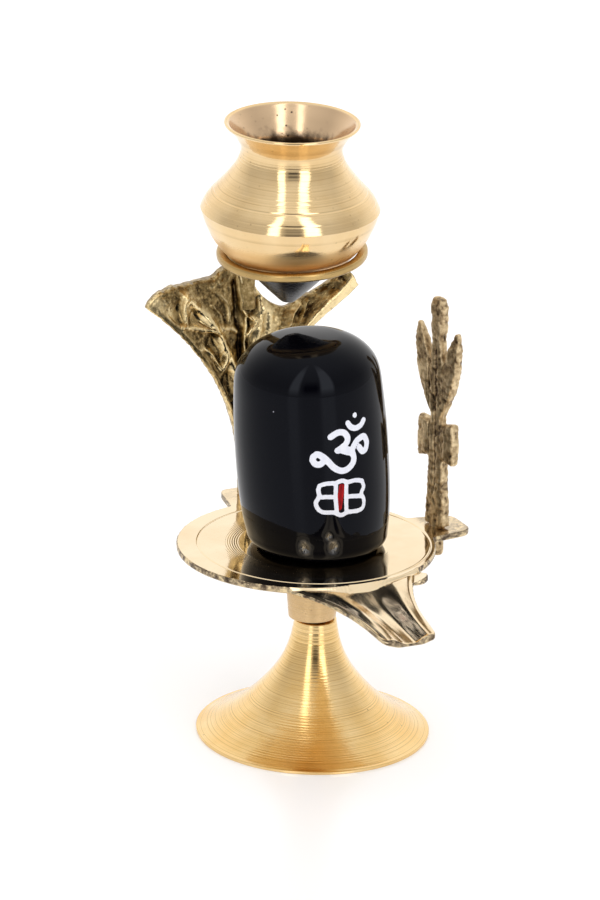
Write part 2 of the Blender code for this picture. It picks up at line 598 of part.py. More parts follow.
def build_trident(parts, guides, material, place):
    """The trident: stem, drum and three prongs, one casting, with a tang through the lug."""
    half = TRIDENT_THICKNESS / 2
    bottom = CONTACT_GAP + STEM_WIDTH / 2 * math.sin(TRIDENT_LEAN)
    top = TRIDENT_HEIGHT
    base = PRONG_BASE_HEIGHT
    centre_rise = top - base
    shaft = blade("trishul", [
        (bottom, 0.0, STEM_WIDTH / 2, half * 1.05),
        (STEM_HEIGHT * 0.5, 0.0, STEM_WIDTH * 0.46, half),
        (STEM_HEIGHT, 0.0, STEM_WIDTH * 0.4, half * 0.95),
        (base - 2 * MM, 0.0, STEM_WAIST_WIDTH / 2, half * 0.9),
        (base + centre_rise * 0.3, 0.0, STEM_WAIST_WIDTH * 0.62, half),
        (base + centre_rise * 0.62, 0.0, HEAD_WIDTH * 0.4, half * 0.9),
        (base + centre_rise * 0.74, 0.0, HEAD_WIDTH * 0.46, half * 1.1),
        (base + centre_rise * 0.93, 0.0, HEAD_WIDTH * 0.5, half * 1.1),
        (top, 0.0, HEAD_WIDTH * 0.38, half * 0.7)], parts, material)
    rise = SIDE_PRONG_TOP - base
    outer = PRONG_SPREAD / 2
    prongs = []
    for label, sign in (("prong_back", 1), ("prong_front", -1)):
        prongs.append(blade(label, [
            (base - 1.0 * MM, sign * STEM_WAIST_WIDTH * 0.3, PRONG_WIDTH * 0.2, half * 0.8),
            (base + rise * 0.2, sign * outer * 0.42, PRONG_WIDTH * 0.42, half * 0.95),
            (base + rise * 0.5, sign * outer * 0.62, PRONG_WIDTH * 0.52, half * 0.97),
            (base + rise * 0.8, sign * outer * 0.8, PRONG_WIDTH * 0.4, half * 0.9),
            (SIDE_PRONG_TOP, sign * outer * 0.92, PRONG_WIDTH * 0.12, half * 0.45)], guides))
    drum = []
    middle = (STEM_HEIGHT + base) / 2 - 0.4 * MM
    for share, height, thick in ((-1.0, 0.8, 0.6), (-0.92, 1.0, 0.9), (-0.55, 0.96, 1.0), (0.0, 0.8, 0.9),
                                 (0.55, 0.96, 1.0), (0.92, 1.0, 0.9), (1.0, 0.8, 0.6)):
        tall = blend(DRUM_MIDDLE_HEIGHT, DRUM_END_HEIGHT, abs(share)) * height / 2
        deep = DRUM_THICKNESS / 2 * thick
        drum.append([(x, share * DRUM_WIDTH / 2, middle + z)
                     for x, z in rounded_rectangle(deep, tall, deep * 0.6)])
    prongs.append(loft("drum", drum, guides))
    tang_end = -DISH_THICKNESS - TANG_LENGTH
    tang = [[(x, y, z) for x, y in arc((0.0, 0.0), radius, *TANG_ARC, TANG_SIDES - 1)]
            for z, radius in ((tang_end, TANG_RADIUS * 0.8), (tang_end + 0.8 * MM, TANG_RADIUS),
                              (bottom + 1.0 * MM, TANG_RADIUS))]
    prongs.append(loft("tang", tang, guides))
    for piece in prongs:
        join_solid(shaft, piece)
    on_lug = Vector((math.cos(SIDE_LUG_ANGLE), math.sin(SIDE_LUG_ANGLE), 0.0)) * TRIDENT_REACH
    on_lug.z = BOSS_HEIGHT
    turn = Matrix.Rotation(TRIDENT_TURN, 4, "Z") @ Matrix.Rotation(-TRIDENT_LEAN, 4, "X")
    for piece in [shaft] + prongs:
        piece.matrix_world = place @ Matrix.Translation(on_lug) @ turn
    return shaft


def stand_over_origin(parts):
    """The move that puts the middle of the whole stand's box over the origin."""
    bpy.context.view_layer.update()
    graph = bpy.context.evaluated_depsgraph_get()
    points = []
    for thing in parts.objects:
        evaluated = thing.evaluated_get(graph)
        points += [evaluated.matrix_world @ vertex.co for vertex in evaluated.data.vertices]
    middle = [(min(p[axis] for p in points) + max(p[axis] for p in points)) / 2 for axis in (0, 1)]
    return Vector((-middle[0], -middle[1], 0.0))


def main():
    for thing in list(bpy.data.objects):
        bpy.data.objects.remove(thing, do_unlink=True)
    parts = bpy.data.collections.new(OBJECT_NAME)
    guides = bpy.data.collections.new("cutters")
    for collection in (parts, guides):
        bpy.context.scene.collection.children.link(collection)

    turned_brass = make_material("turned_brass", (0.83, 0.62, 0.30), 1.0, 0.25)
    cast_brass = make_material("cast_brass", (0.45, 0.36, 0.22), 0.9, 0.5)
    black_stone = make_material("black_stone", (0.012, 0.012, 0.014), 0.0, 0.08)

    place = dish_place()
    build_foot(parts, turned_brass)
    build_dish(parts, guides, turned_brass, place)
    build_lingam(parts, black_stone, place)
    crest = build_hood(parts, guides, cast_brass, place)
    centre, tilt = build_ring(parts, guides, turned_brass, crest)
    build_pot(parts, turned_brass, centre, tilt)
    build_trident(parts, guides, cast_brass, place)

    stand = bpy.data.objects.new("stand_origin", None)
    bpy.context.scene.collection.objects.link(stand)
    stand.location = stand_over_origin(parts)
    for thing in list(parts.objects) + list(guides.objects):
        thing.parent = stand


main()
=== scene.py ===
"""Looks of the brass temple stand: turned and cast brass, a polished black stone and studio light.

Metres, in the part's own frame: +Z up, the spout points along -Y, the hood stands at +Y and the
trident at +X. The sizes are the solids' own, and the places come from the solids' boxes.
"""

import itertools
import math

import bmesh
import bpy
import numpy as np
from mathutils import Matrix, Vector


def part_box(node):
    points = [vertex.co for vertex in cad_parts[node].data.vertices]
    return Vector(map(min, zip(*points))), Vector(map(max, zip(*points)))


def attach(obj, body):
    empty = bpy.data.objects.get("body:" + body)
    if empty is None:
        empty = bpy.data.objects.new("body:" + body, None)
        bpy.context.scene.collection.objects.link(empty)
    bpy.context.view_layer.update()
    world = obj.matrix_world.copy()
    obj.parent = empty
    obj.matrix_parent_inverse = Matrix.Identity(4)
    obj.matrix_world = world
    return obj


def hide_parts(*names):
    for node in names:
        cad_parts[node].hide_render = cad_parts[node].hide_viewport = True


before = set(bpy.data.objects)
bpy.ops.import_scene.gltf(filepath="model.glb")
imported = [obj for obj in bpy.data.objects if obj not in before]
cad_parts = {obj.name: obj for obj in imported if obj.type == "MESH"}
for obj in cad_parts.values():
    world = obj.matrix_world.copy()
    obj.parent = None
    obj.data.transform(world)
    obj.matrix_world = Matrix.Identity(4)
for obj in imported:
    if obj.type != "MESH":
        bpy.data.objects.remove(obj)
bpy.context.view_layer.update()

MM = 0.001
CONTACT_GAP = 0.3 * MM

# Foot
FOOT_RADIUS = 28.5 * MM
FOOT_EDGE_HEIGHT = 0.7 * MM
FOOT_WALL = 1.8 * MM
FOOT_HOLLOW_HEIGHT = 13.5 * MM
NECK_RADIUS = 5.1 * MM
FOOT_HEIGHT = 29.5 * MM
FOOT_FLARE = ((0.944, 0.036), (0.808, 0.09), (0.636, 0.18), (0.466, 0.295), (0.338, 0.405),
              (0.231, 0.51), (0.145, 0.615), (0.081, 0.725), (0.038, 0.835), (0.013, 0.94))
LATHE_PITCH = 0.72 * MM
LATHE_DEPTH = 0.021 * MM
NECK_GROOVES = (24.6 * MM, 27.2 * MM)

# Boss and dish
BOSS_LOWER_RADIUS = 5.8 * MM
BOSS_UPPER_RADIUS = 7.3 * MM
BOSS_HEIGHT = 18.7 * MM
BOSS_SHIFT = Vector((-0.75 * MM, 0.35 * MM, 0.0))
DISH_RADIUS = 31.5 * MM
DISH_THICKNESS = 1.5 * MM
DISH_SHIFT = Vector((-1.7 * MM, 0.7 * MM, 0.0))
DISH_TILT_BACK = math.radians(1.4)
DISH_TILT_SIDE = math.radians(0.4)
FACE_RADIUS = 28.3 * MM
RING_MARKS = (18.3 * MM, 25.3 * MM)
RING_MARK_PITCH = 0.55 * MM
RING_MARK_DEPTH = 0.034 * MM
BACK_LUG = (math.radians(90.0), 43.5 * MM, 13.0 * MM)
SIDE_LUG = (math.radians(1.0), 40.3 * MM, 12.0 * MM)
LUG_CORNER = 3.0 * MM
RIM_ROUND = 0.35 * MM

# Spout
SPOUT_LENGTH = 60.0 * MM
SPOUT_DROP = 2.8 * MM
SPOUT_END_WIDTH = 14.2 * MM
SPOUT_ROOT_WIDTH = 37.0 * MM
SPOUT_ROOT_REACH = 24.0 * MM
SPOUT_THICKNESS = 1.7 * MM
SPOUT_STEP = 0.45 * MM
CHANNEL_DEPTH = 1.6 * MM
EAR_REACH = 32.4 * MM
EAR_SIDE = 18.6 * MM
EAR_RADIUS = 3.4 * MM

# Stone
LINGAM_RADIUS = 18.4 * MM
LINGAM_SHIFT = Vector((0.9 * MM, -0.3 * MM, 0.0))
LINGAM_SHOULDER_RADIUS = 17.7 * MM
LINGAM_HEIGHT = 52.9 * MM
LINGAM_TOP_ROUND = 10.0 * MM
LINGAM_TOP_CROWN = 2.2 * MM
LINGAM_BASE_ROUND = 3.4 * MM
LINGAM_BASE_RADIUS = 17.2 * MM
LINGAM_WIDEST_HEIGHT = 17.0 * MM
# Dents near the base: heading in degrees, height and size
LINGAM_DENTS = ((-124.0, 4.6 * MM, 1.3 * MM), (-101.0, 4.8 * MM, 1.2 * MM),
                (-104.5, 7.6 * MM, 0.7 * MM))
LINGAM_LEAN = math.radians(4.6)
LINGAM_LEAN_TOWARDS = math.radians(155.0)

# Hood
HOOD_TIP_HEIGHT = 51.5 * MM
HOOD_STEM_HALF_WIDTH = 3.5 * MM
HOOD_HALF_WIDTH = 29.0 * MM
HOOD_SPREAD_POWER = 2.5
HOOD_THICKNESS = 2.6 * MM
HOOD_LEAN_BACK = 7.6 * MM
HOOD_WINGS_FORWARD = 6.5 * MM
HOOD_STAND_BACK = 5.8 * MM
HOOD_SIDE = 0.4 * MM
HOOD_TOP_LINE = ((-1.0, -0.4), (-0.93, 1.7), (-0.74, 3.2), (-0.52, 3.2), (-0.32, 4.0),
                 (-0.16, 6.6), (0.0, 3.8), (0.16, -2.6), (0.33, -6.2), (0.44, -5.6),
                 (0.58, -2.2), (0.76, 0.2), (0.92, 2.6), (1.0, -0.4))
# Carved lines: (side, rise) points, width and height in millimetres, brightness and smoothness
HOOD_STROKES = (
    (((-0.66, 0.955), (-0.6, 0.896), (-0.51, 0.82), (-0.48, 0.744), (-0.43, 0.67), (-0.40, 0.598),
      (-0.38, 0.5), (-0.38, 0.38), (-0.38, 0.22)), 1.05, 1.35, 0.85, 0.9),
    (((-0.68, 0.95), (-0.72, 0.932), (-0.78, 0.896), (-0.84, 0.86), (-0.9, 0.85)),
     0.5, 0.75, 0.72, 0.6),
    (((-0.93, 0.85), (-0.865, 0.842), (-0.75, 0.82), (-0.65, 0.808), (-0.505, 0.792)),
     0.55, 0.85, 0.75, 0.7),
    (((-0.92, 0.74), (-0.84, 0.738), (-0.765, 0.694), (-0.705, 0.626), (-0.6, 0.64),
      (-0.5, 0.68)), 0.5, 0.7, 0.8, 0.6),
    (((-0.065, 0.985), (-0.06, 0.918), (-0.09, 0.87), (-0.065, 0.84), (-0.045, 0.794), (-0.11, 0.736),
      (-0.125, 0.686), (-0.155, 0.636), (-0.12, 0.55), (-0.14, 0.4)), 0.42, 1.3, 0.95, 0.7),
    (((-0.125, 0.95), (-0.145, 0.864), (-0.16, 0.814), (-0.15, 0.758), (-0.2, 0.68),
      (-0.22, 0.6)), 0.5, -0.9, 0.0, 0.2),
    (((-0.01, 0.95), (0.0, 0.88), (0.0, 0.8), (-0.05, 0.74), (-0.06, 0.66)), 0.42, -0.7, 0.03, 0.2),
    (((0.115, 0.964), (0.075, 0.908), (0.035, 0.85)), 0.8, -0.7, 0.02, 0.5),
    (((-0.065, 0.844), (0.015, 0.832), (0.115, 0.848), (0.05, 0.79), (-0.07, 0.738)), 0.42, 0.8, 0.85, 0.6),
    (((-0.395, 0.802), (-0.275, 0.784), (-0.195, 0.762)), 0.5, 0.7, 0.75, 0.5),
    (((-0.30, 0.93), (-0.24, 0.87), (-0.27, 0.82)), 0.4, 0.6, 0.6, 0.4),
    (((-0.42, 0.90), (-0.36, 0.85), (-0.38, 0.81)), 0.4, 0.6, 0.55, 0.3),
    (((0.08, 1.0), (0.165, 0.954), (0.16, 0.854), (0.12, 0.766), (0.08, 0.66)), 0.9, 0.7, 0.75, 0.6),
    (((0.20, 0.97), (0.27, 0.90), (0.30, 0.80)), 0.7, 0.35, 0.8, 0.5),
    (((0.61, 0.945), (0.66, 0.90), (0.71, 0.865), (0.74, 0.82)), 0.45, 0.9, 0.45, 0.8),
    (((0.50, 0.98), (0.535, 0.95), (0.51, 0.904), (0.55, 0.842)), 0.5, 0.8, 0.6, 0.5),
)
# Hollows: (side, rise), half width and height in millimetres, depth, brightness and smoothness
HOOD_HOLLOWS = (
    ((-0.88, 0.905), (2.3, 2.5), 0.9, 0.24, 1.0),
    ((-0.65, 0.868), (3.2, 3.0), 1.1, 0.34, 1.0),
    ((-0.665, 0.742), (2.4, 2.4), 1.0, 0.32, 1.0),
    ((-0.73, 0.655), (1.9, 2.3), 1.0, 0.20, 0.9),
    ((-0.76, 0.545), (1.8, 3.6), 1.1, 0.06, 0.8),
    ((-0.76, 0.40), (1.3, 4.0), 0.9, 0.05, 0.7),
    ((-0.31, 0.855), (3.0, 2.6), 0.5, 0.12, 0.1),
    ((-0.30, 0.70), (2.2, 3.4), 0.4, 0.20, 0.1),
    ((0.26, 0.87), (3.6, 4.4), -0.15, 0.58, 0.35),
    ((0.66, 0.895), (3.2, 3.0), 1.2, 0.0, 0.9),
    ((0.77, 0.962), (2.6, 1.7), 1.1, 0.05, 0.9),
    ((0.05, 0.60), (2.5, 4.0), 0.3, 0.3, 0.3),
)
# Dimple at the right tip: (side, rise) and its half width and height in millimetres
HOOD_DIMPLE = ((0.91, 0.972), (0.7, 0.8))
# How far the right border is set in, by rise, and dips of the top line: side, width, depth, power
HOOD_INSET = ((0.3, 0.55, 0.72, 0.82, 0.9, 0.95, 1.0), (0.0, 0.8, 2.0, 2.0, 0.7, 0.2, 0.9))
HOOD_DIPS = ((-0.14, 0.22, 1.0 * MM, 6), (0.62, 0.12, 1.2 * MM, 7))
CREST_HEIGHT = 4.0 * MM
CREST_WIDTH = 6.4 * MM
CREST_DEPTH = 6.0 * MM
CREST_SIDE = -0.4 * MM

# Ring and its arm
RING_RADIUS = 18.3 * MM
RING_BAND = 2.4 * MM
RING_HEIGHT = 2.0 * MM
RING_CORNER = 0.7 * MM
RING_TILT = math.radians(3.2)
RING_TILT_TOWARDS = math.radians(200.0)
RING_RISE = 9.5 * MM
RING_REACH = 29.0 * MM
RING_SIDE = 0.4 * MM
ARM_WIDTH = 6.0 * MM
ARM_THICKNESS = 2.0 * MM
ARM_SAG = 0.6 * MM

# Pot: heights run down from its rim
POT_HEIGHT = 45.3 * MM
POT_WALL = 1.2 * MM
POT_LIP_RADIUS = 16.4 * MM
POT_LIP_EDGE = 1.3 * MM
POT_NECK_RADIUS = 12.3 * MM
POT_NECK_DEPTH = 6.4 * MM
POT_SHOULDER_RADIUS = 18.9 * MM
POT_SHOULDER_DEPTH = 17.3 * MM
POT_BELLY_RADIUS = 21.7 * MM
POT_BELLY_DEPTH = 21.6 * MM
POT_BALL_RADIUS = 22.2 * MM
POT_BALL_END_DEPTH = 36.2 * MM
POT_TIP_RADIUS = 2.4 * MM
POT_GROOVES = ((8.3 * MM, 0.09 * MM), (9.0 * MM, 0.03 * MM), (14.6 * MM, 0.04 * MM),
               (15.5 * MM, 0.03 * MM), (17.1 * MM, 0.13 * MM))

# Trident
TRIDENT_TURN = math.radians(13.0)
STEM_HEIGHT = 15.2 * MM
PRONG_BASE_HEIGHT = 29.7 * MM
TRIDENT_GROOVE = -1.2 * MM

# Painted signs on the stone: (along, up) in millimetres, up from the base and along from a heading
SIGN_HEADING = math.radians(-94.0)
STROKE_WIDTH = 1.05
OM_WIDTH = 1.55
CRESCENT_WIDTH = 1.4
OM_UPPER = ((-1.5, 32.7), (0.4, 33.5), (2.1, 33.1), (2.9, 31.5), (2.0, 30.1), (0.0, 29.1))
OM_LOWER = ((0.0, 29.1), (2.6, 28.8), (4.1, 27.2), (3.9, 25.3), (2.3, 24.0), (0.5, 23.9),
            (-1.3, 25.1), (-2.5, 26.7), (-3.7, 28.0), (-5.1, 28.8), (-6.2, 27.8), (-5.7, 26.5),
            (-4.5, 26.2), (-3.3, 27.1))
OM_CURL = ((3.6, 27.8), (4.6, 29.6), (6.0, 30.7), (7.7, 30.9), (8.5, 29.3), (8.0, 27.7),
           (6.9, 27.4), (6.0, 28.6))
OM_CRESCENT = ((3.3, 35.3), (4.0, 34.2), (5.4, 33.6), (7.0, 33.9), (8.1, 34.9))
OM_KNOT = ((1.6, 29.0), (2.9, 28.4))
OM_DOT = ((5.5, 36.8), (5.5, 36.8))
KNOT_WIDTH = 2.1
DOT_WIDTH = 1.3
FRAME_TOP = ((-4.9, 20.9), (-3.3, 21.2), (-1.1, 21.1), (0.6, 21.4), (2.1, 20.8), (4.2, 20.8),
             (6.2, 20.2))
FRAME_RIGHT = ((6.2, 20.2), (6.6, 18.6), (5.8, 17.2), (6.5, 15.5), (6.1, 13.7), (4.5, 13.2))
FRAME_BOTTOM = ((4.5, 13.2), (1.7, 13.4), (0.0, 12.9), (-2.0, 13.8), (-4.5, 14.1), (-5.7, 15.0))
FRAME_LEFT = ((-5.7, 15.0), (-6.1, 16.6), (-5.2, 18.1), (-5.3, 19.8), (-4.9, 20.9))
FRAME_MIDDLE_LEFT = ((-5.4, 17.9), (-3.5, 17.9), (-1.2, 17.6))
FRAME_MIDDLE_RIGHT = ((1.5, 17.3), (3.6, 17.0), (6.0, 16.5))
BAR_LEFT = ((-0.9, 21.0), (-1.2, 17.4), (-1.1, 13.6))
BAR_RIGHT = ((1.8, 20.8), (1.5, 17.3), (1.4, 13.4))
RED_MARK = ((0.55, 19.9), (0.05, 17.6), (-0.5, 14.9))
RED_WIDTH = 1.5

# Camera: seen from the left of the spout and from above, with the picture leaning clockwise
CAMERA_AZIMUTH = math.radians(-25.0)
CAMERA_ELEVATION = math.radians(20.8)
CAMERA_ROLL = math.radians(1.5)
CAMERA_DISTANCE = 1.7
CAMERA_LENS = 188.02
SENSOR_HEIGHT = 24.0
CAMERA_AIM = Vector((-4.37 * MM, 2.04 * MM, 72.84 * MM))

# Studio: lit panels as (heading, half width, brightness), and a dark gap between them. Headings are
# in degrees, to the right of the camera's side of the stand
PANELS = ((-21.5, 7.5, 2.7), (31.5, 10.5, 2.9))
DARK_GAP = (5.0, 13.0)
GAP_COLOUR = (0.03, 0.03, 0.035)
SKY = ((0.0, (0.80, 0.79, 0.78)), (0.2, (0.64, 0.63, 0.62)), (0.45, (0.74, 0.73, 0.72)),
       (0.65, (0.92, 0.92, 0.92)), (1.0, (1.12, 1.12, 1.13)))
SKY_BEHIND = (1.16, 1.14, 1.12)
FLOOR_RADIUS = 4.0
FLOOR_DROP = 0.02 * MM
FLOOR_GLOW = 0.17

# Fineness of the meshes
TURNED_STEPS = 180
DISH_SECTORS = 640
STONE_SECTORS = 384
HOOD_COLUMNS = 241
HOOD_ROWS = 186
REAR_STEP = 4
PROFILE_STEP = 0.12 * MM
WELD_DISTANCE = 1e-7
TRIDENT_VOXEL = 0.27 * MM


def blend(low, high, share):
    return low + (high - low) * share


def smooth_step(low, high, value):
    share = np.clip((value - low) / (high - low), 0.0, 1.0)
    return share * share * (3 - 2 * share)


def ridge(value, middle, width):
    return np.exp(-((value - middle) / width) ** 2)


def turn_angles(count):
    return 2 * math.pi * np.arange(count) / count


def half_turn(angles):
    """The same angles, brought to within half a turn of zero."""
    return (angles + math.pi) % (2 * math.pi) - math.pi


def round_points(radius, angles, height):
    """Points at a radius and a height, in each direction about the Z axis."""
    return np.stack(np.broadcast_arrays(radius * np.cos(angles), radius * np.sin(angles), height), axis=-1)


def smooth_line(points, pieces):
    """Points on a smooth curve through the given ones, with so many pieces between each two."""
    points = np.asarray(points, float)
    padded = np.concatenate([points[:1], points, points[-1:]])
    before, here, after, beyond = (padded[k:len(padded) - 3 + k, None, :] for k in range(4))
    share = (np.arange(pieces) / pieces)[None, :, None]
    curve = 0.5 * (2 * here + (after - before) * share
                   + (2 * before - 5 * here + 4 * after - beyond) * share ** 2
                   + (3 * here - before - 3 * after + beyond) * share ** 3)
    return np.concatenate([curve.reshape(-1, points.shape[1]), points[-1:]])


def line_length(line):
    """How far along the line each of its points lies."""
    return np.concatenate([[0.0], np.cumsum(np.linalg.norm(np.diff(line, axis=0), axis=1))])


def even_line(points, step):
    """The same line with its points an even step apart."""
    points = np.asarray(points, float)
    along = line_length(points)
    places = np.linspace(0.0, along[-1], max(int(round(along[-1] / step)), 1) + 1)
    return np.stack([np.interp(places, along, points[:, k]) for k in range(points.shape[1])], axis=1)


def line_distance(points, line):
    """Distance from each of the points to the nearest place on a line."""
    nearest = np.full(points.shape[:-1], 1e3)
    for start, end in zip(line[:-1], line[1:]):
        step = end - start
        share = np.clip(((points - start) @ step) / max(step @ step, 1e-9), 0.0, 1.0)
        nearest = np.minimum(nearest, np.linalg.norm(points - start - share[..., None] * step, axis=-1))
    return nearest


def value_noise(points, size, seed):
    """Smooth noise between -1 and 1 at points (n, 3), with features of one size."""
    cell = points / size
    low = np.floor(cell).astype(np.int64)
    share = cell - low
    share = share * share * (3 - 2 * share)
    total = np.zeros(len(points))
    for corner in itertools.product((0, 1), repeat=3):
        at = low + np.array(corner)
        key = at[:, 0] * 73856093 ^ at[:, 1] * 19349663 ^ at[:, 2] * 83492791 ^ (seed + 11) * 40503
        key = (key ^ (key >> 13)) * 1274126177 & 0x7FFFFFFF
        key = (key ^ (key >> 15)) * 668265263 & 0x7FFFFFFF
        value = ((key >> 8) & 0xFFFF) / 32767.5 - 1
        total += value * np.prod(np.where(np.array(corner), share, 1 - share), axis=1)
    return total


def rough_noise(points, size, seed, layers=3):
    """Layers of noise at points (..., 3), each half the size and half the height of the last."""
    flat = points.reshape(-1, 3)
    total = sum(value_noise(flat, size / 2 ** k, seed + k) / 2 ** k for k in range(layers))
    return total.reshape(points.shape[:-1])


def placed(matrix, points):
    """Points (..., 3) moved by a 4x4 matrix."""
    table = np.array(matrix)
    return points @ table[:3, :3].T + table[:3, 3]


def skin(name, grid, wrap_rows=False, wrap_columns=True, sharp=40.0):
    """A mesh over a grid of points (rows, columns, 3), closed round its columns or rows."""
    rows, columns = grid.shape[:2]
    index = np.arange(rows * columns).reshape(rows, columns)
    if wrap_rows:
        index = np.concatenate([index, index[:1]])
    if wrap_columns:
        index = np.concatenate([index, index[:, :1]], axis=1)
    quads = np.stack([index[:-1, :-1], index[1:, :-1], index[1:, 1:], index[:-1, 1:]], axis=-1)
    mesh = bpy.data.meshes.new(name)
    mesh.from_pydata(grid.reshape(-1, 3).tolist(), [], quads.reshape(-1, 4).tolist())
    return finish_mesh(name, mesh, sharp)


def finish_mesh(name, mesh, sharp):
    """Welds points that lie together, closes open ends and turns the faces outward."""
    shape = bmesh.new()
    shape.from_mesh(mesh)
    bmesh.ops.remove_doubles(shape, verts=shape.verts[:], dist=WELD_DISTANCE)
    open_edges = [edge for edge in shape.edges if edge.is_boundary]
    if open_edges:
        bmesh.ops.holes_fill(shape, edges=open_edges, sides=0)
    bmesh.ops.recalc_face_normals(shape, faces=shape.faces[:])
    shape.to_mesh(mesh)
    shape.free()
    mesh.shade_smooth()
    mesh.set_sharp_from_angle(angle=math.radians(sharp))
    piece = bpy.data.objects.new(name, mesh)
    bpy.context.scene.collection.objects.link(piece)
    return piece


def turned(name, profile, place, sharp=40.0):
    """A profile of (radius, height) points turned about the Z axis of its place."""
    profile = np.asarray(profile, float)
    grid = round_points(profile[:, :1], turn_angles(TURNED_STEPS), profile[:, 1:])
    piece = skin(name, placed(place, grid), sharp=sharp)
    points = placed(place.inverted(), vertex_table(piece))
    give_values(piece, along=(np.hypot(points[:, 0], points[:, 1]) - points[:, 2]) / MM)
    return piece


def vertex_table(piece):
    table = np.zeros(len(piece.data.vertices) * 3)
    piece.data.vertices.foreach_get("co", table)
    return table.reshape(-1, 3)


def give_values(piece, **rows):
    """Stores named numbers on the piece's vertices, for its material to read."""
    for name, values in rows.items():
        attribute = piece.data.attributes.new(name, "FLOAT", "POINT")
        attribute.data.foreach_set("value", np.full(len(piece.data.vertices), values, np.float32))


def give_grid_values(piece, grid, **rows):
    """The same with a number for each of a grid's points, some of which may be welded together."""
    order = slice(None)
    if len(piece.data.vertices) != grid.shape[0] * grid.shape[1]:
        order = nearest(grid.reshape(-1, 3), vertex_table(piece))
    give_values(piece, **{name: np.reshape(values, -1)[order] for name, values in rows.items()})


def nearest(points, wanted):
    """For each wanted point, which of the points lies there."""
    places, sought = (np.round(table / WELD_DISTANCE).astype(np.int64).tolist()
                      for table in (points, wanted))
    keys = {tuple(key): index for index, key in enumerate(places)}
    return np.array([keys.get(tuple(key), 0) for key in sought])


def dress(piece, node, material):
    """The piece stands for a node, rides on the body and takes its material."""
    piece.data.materials.clear()
    piece.data.materials.append(material)
    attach(piece, "root")
    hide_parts(node)
    return piece


class Nodes:
    """A material's or world's node tree, with short ways to add and join nodes."""

    def __init__(self, tree):
        self.tree = tree

    def feed(self, node, socket, source):
        """Joins an output to a node's socket, or sets a value there."""
        if isinstance(source, bpy.types.NodeSocket):
            self.tree.links.new(source, node.inputs[socket])
        else:
            node.inputs[socket].default_value = source

    def add(self, kind, inputs=(), output=0, **settings):
        """One output of a new node, with its settings and its (socket, source) inputs."""
        node = self.tree.nodes.new(kind)
        for key, value in settings.items():
            setattr(node, key, value)
        for socket, source in inputs:
            self.feed(node, socket, source)
        return node.outputs[output]

    def attribute(self, name):
        return self.add("ShaderNodeAttribute", output="Fac", attribute_name=name)

    def stretched(self, vector, scale):
        return self.add("ShaderNodeMapping", (("Vector", vector), ("Scale", scale)), "Vector")

    def noise(self, source, scale, detail=3.0, roughness=0.55, socket="Vector", space="3D"):
        inputs = ((socket, source), ("Scale", scale), ("Detail", detail), ("Roughness", roughness))
        return self.add("ShaderNodeTexNoise", inputs, "Fac", noise_dimensions=space)

    def cells(self, vector, scale):
        return self.add("ShaderNodeTexVoronoi", (("Vector", vector), ("Scale", scale)), "Distance")

    def ramp(self, value, stops):
        """Maps a number through (place, colour) stops."""
        output = self.add("ShaderNodeValToRGB", (("Fac", value),), "Color")
        elements = output.node.color_ramp.elements
        while len(elements) < len(stops):
            elements.new(0.5)
        for element, (place, colour) in zip(elements, stops):
            element.position = place
            element.color = (*colour, 1.0)
        return output

    def mix(self, share, first, second):
        """Blends two colours, each an output or three numbers."""
        colours = [(*source, 1.0) if isinstance(source, tuple) else source for source in (first, second)]
        inputs = zip(("Factor_Float", "A_Color", "B_Color"), (share, *colours))
        output = self.add("ShaderNodeMix", data_type="RGBA")
        node = output.node
        sockets = {socket.identifier: index for index, socket in enumerate(node.inputs)}
        for identifier, source in inputs:
            self.feed(node, sockets[identifier], source)
        return next(socket for socket in node.outputs if socket.identifier == "Result_Color")

    def math(self, operation, first, second=0.0, clamp=False):
        inputs = enumerate((first, second))
        return self.add("ShaderNodeMath", inputs, operation=operation, use_clamp=clamp)

    def times(self, first, *others):
        for other in others:
            first = self.math("MULTIPLY", first, other)
        return first

    def plus(self, first, *others):
        for other in others:
            first = self.math("ADD", first, other)
        return first

    def minus(self, first, second, clamp=False):
        return self.math("SUBTRACT", first, second, clamp)

    def span(self, value, low, high, to_low=0.0, to_high=1.0):
        """Maps a number from one span to another, and holds it at the ends."""
        sockets = ("Value", "From Min", "From Max", "To Min", "To Max")
        return self.add("ShaderNodeMapRange", zip(sockets, (value, low, high, to_low, to_high)), "Result")

    def bump(self, height, distance, strength=1.0, normal=None):
        inputs = [("Height", height), ("Distance", distance), ("Strength", strength)]
        if normal is not None:
            inputs.append(("Normal", normal))
        return self.add("ShaderNodeBump", inputs, "Normal")


class Surface(Nodes):
    """A new material, with the marks that several of the pieces share."""

    def __init__(self, name):
        self.material = bpy.data.materials.new(name)
        self.material.use_nodes = True
        super().__init__(self.material.node_tree)
        self.shader = self.tree.nodes["Principled BSDF"]
        self.place = self.add("ShaderNodeTexCoord", output="Object")

    def grain(self, scale, detail=3.0, roughness=0.55):
        """Noise over the surface, the same in all directions."""
        return self.noise(self.place, scale, detail, roughness)

    def streaks(self, stretch, scale, detail=3.0, roughness=0.55):
        return self.noise(self.stretched(self.place, stretch), scale, detail, roughness)

    def scratches(self):
        return self.streaks((1.0, 1.0, 7.0), 260.0, 5.0, 0.7)

    def lathe_rings(self, scale):
        """Noise along a turned profile, for the fine rings that a lathe tool leaves."""
        return self.noise(self.attribute("along"), scale, 3.0, 0.6, "W", "1D")

    def dots(self, scale, size, patch_scale, patch_detail, patch):
        """Small dots that gather in patches."""
        patches = self.span(self.grain(patch_scale, patch_detail), *patch)
        return self.times(self.span(self.cells(self.place, scale), *size), patches)

    def finish(self, colour, roughness, metallic=1.0, normal=None):
        """Feeds the shader and gives the material."""
        sources = {"Base Color": colour, "Roughness": roughness, "Metallic": metallic}
        if normal is not None:
            sources["Normal"] = normal
        for socket, source in sources.items():
            self.feed(self.shader, socket, source)
        return self.material


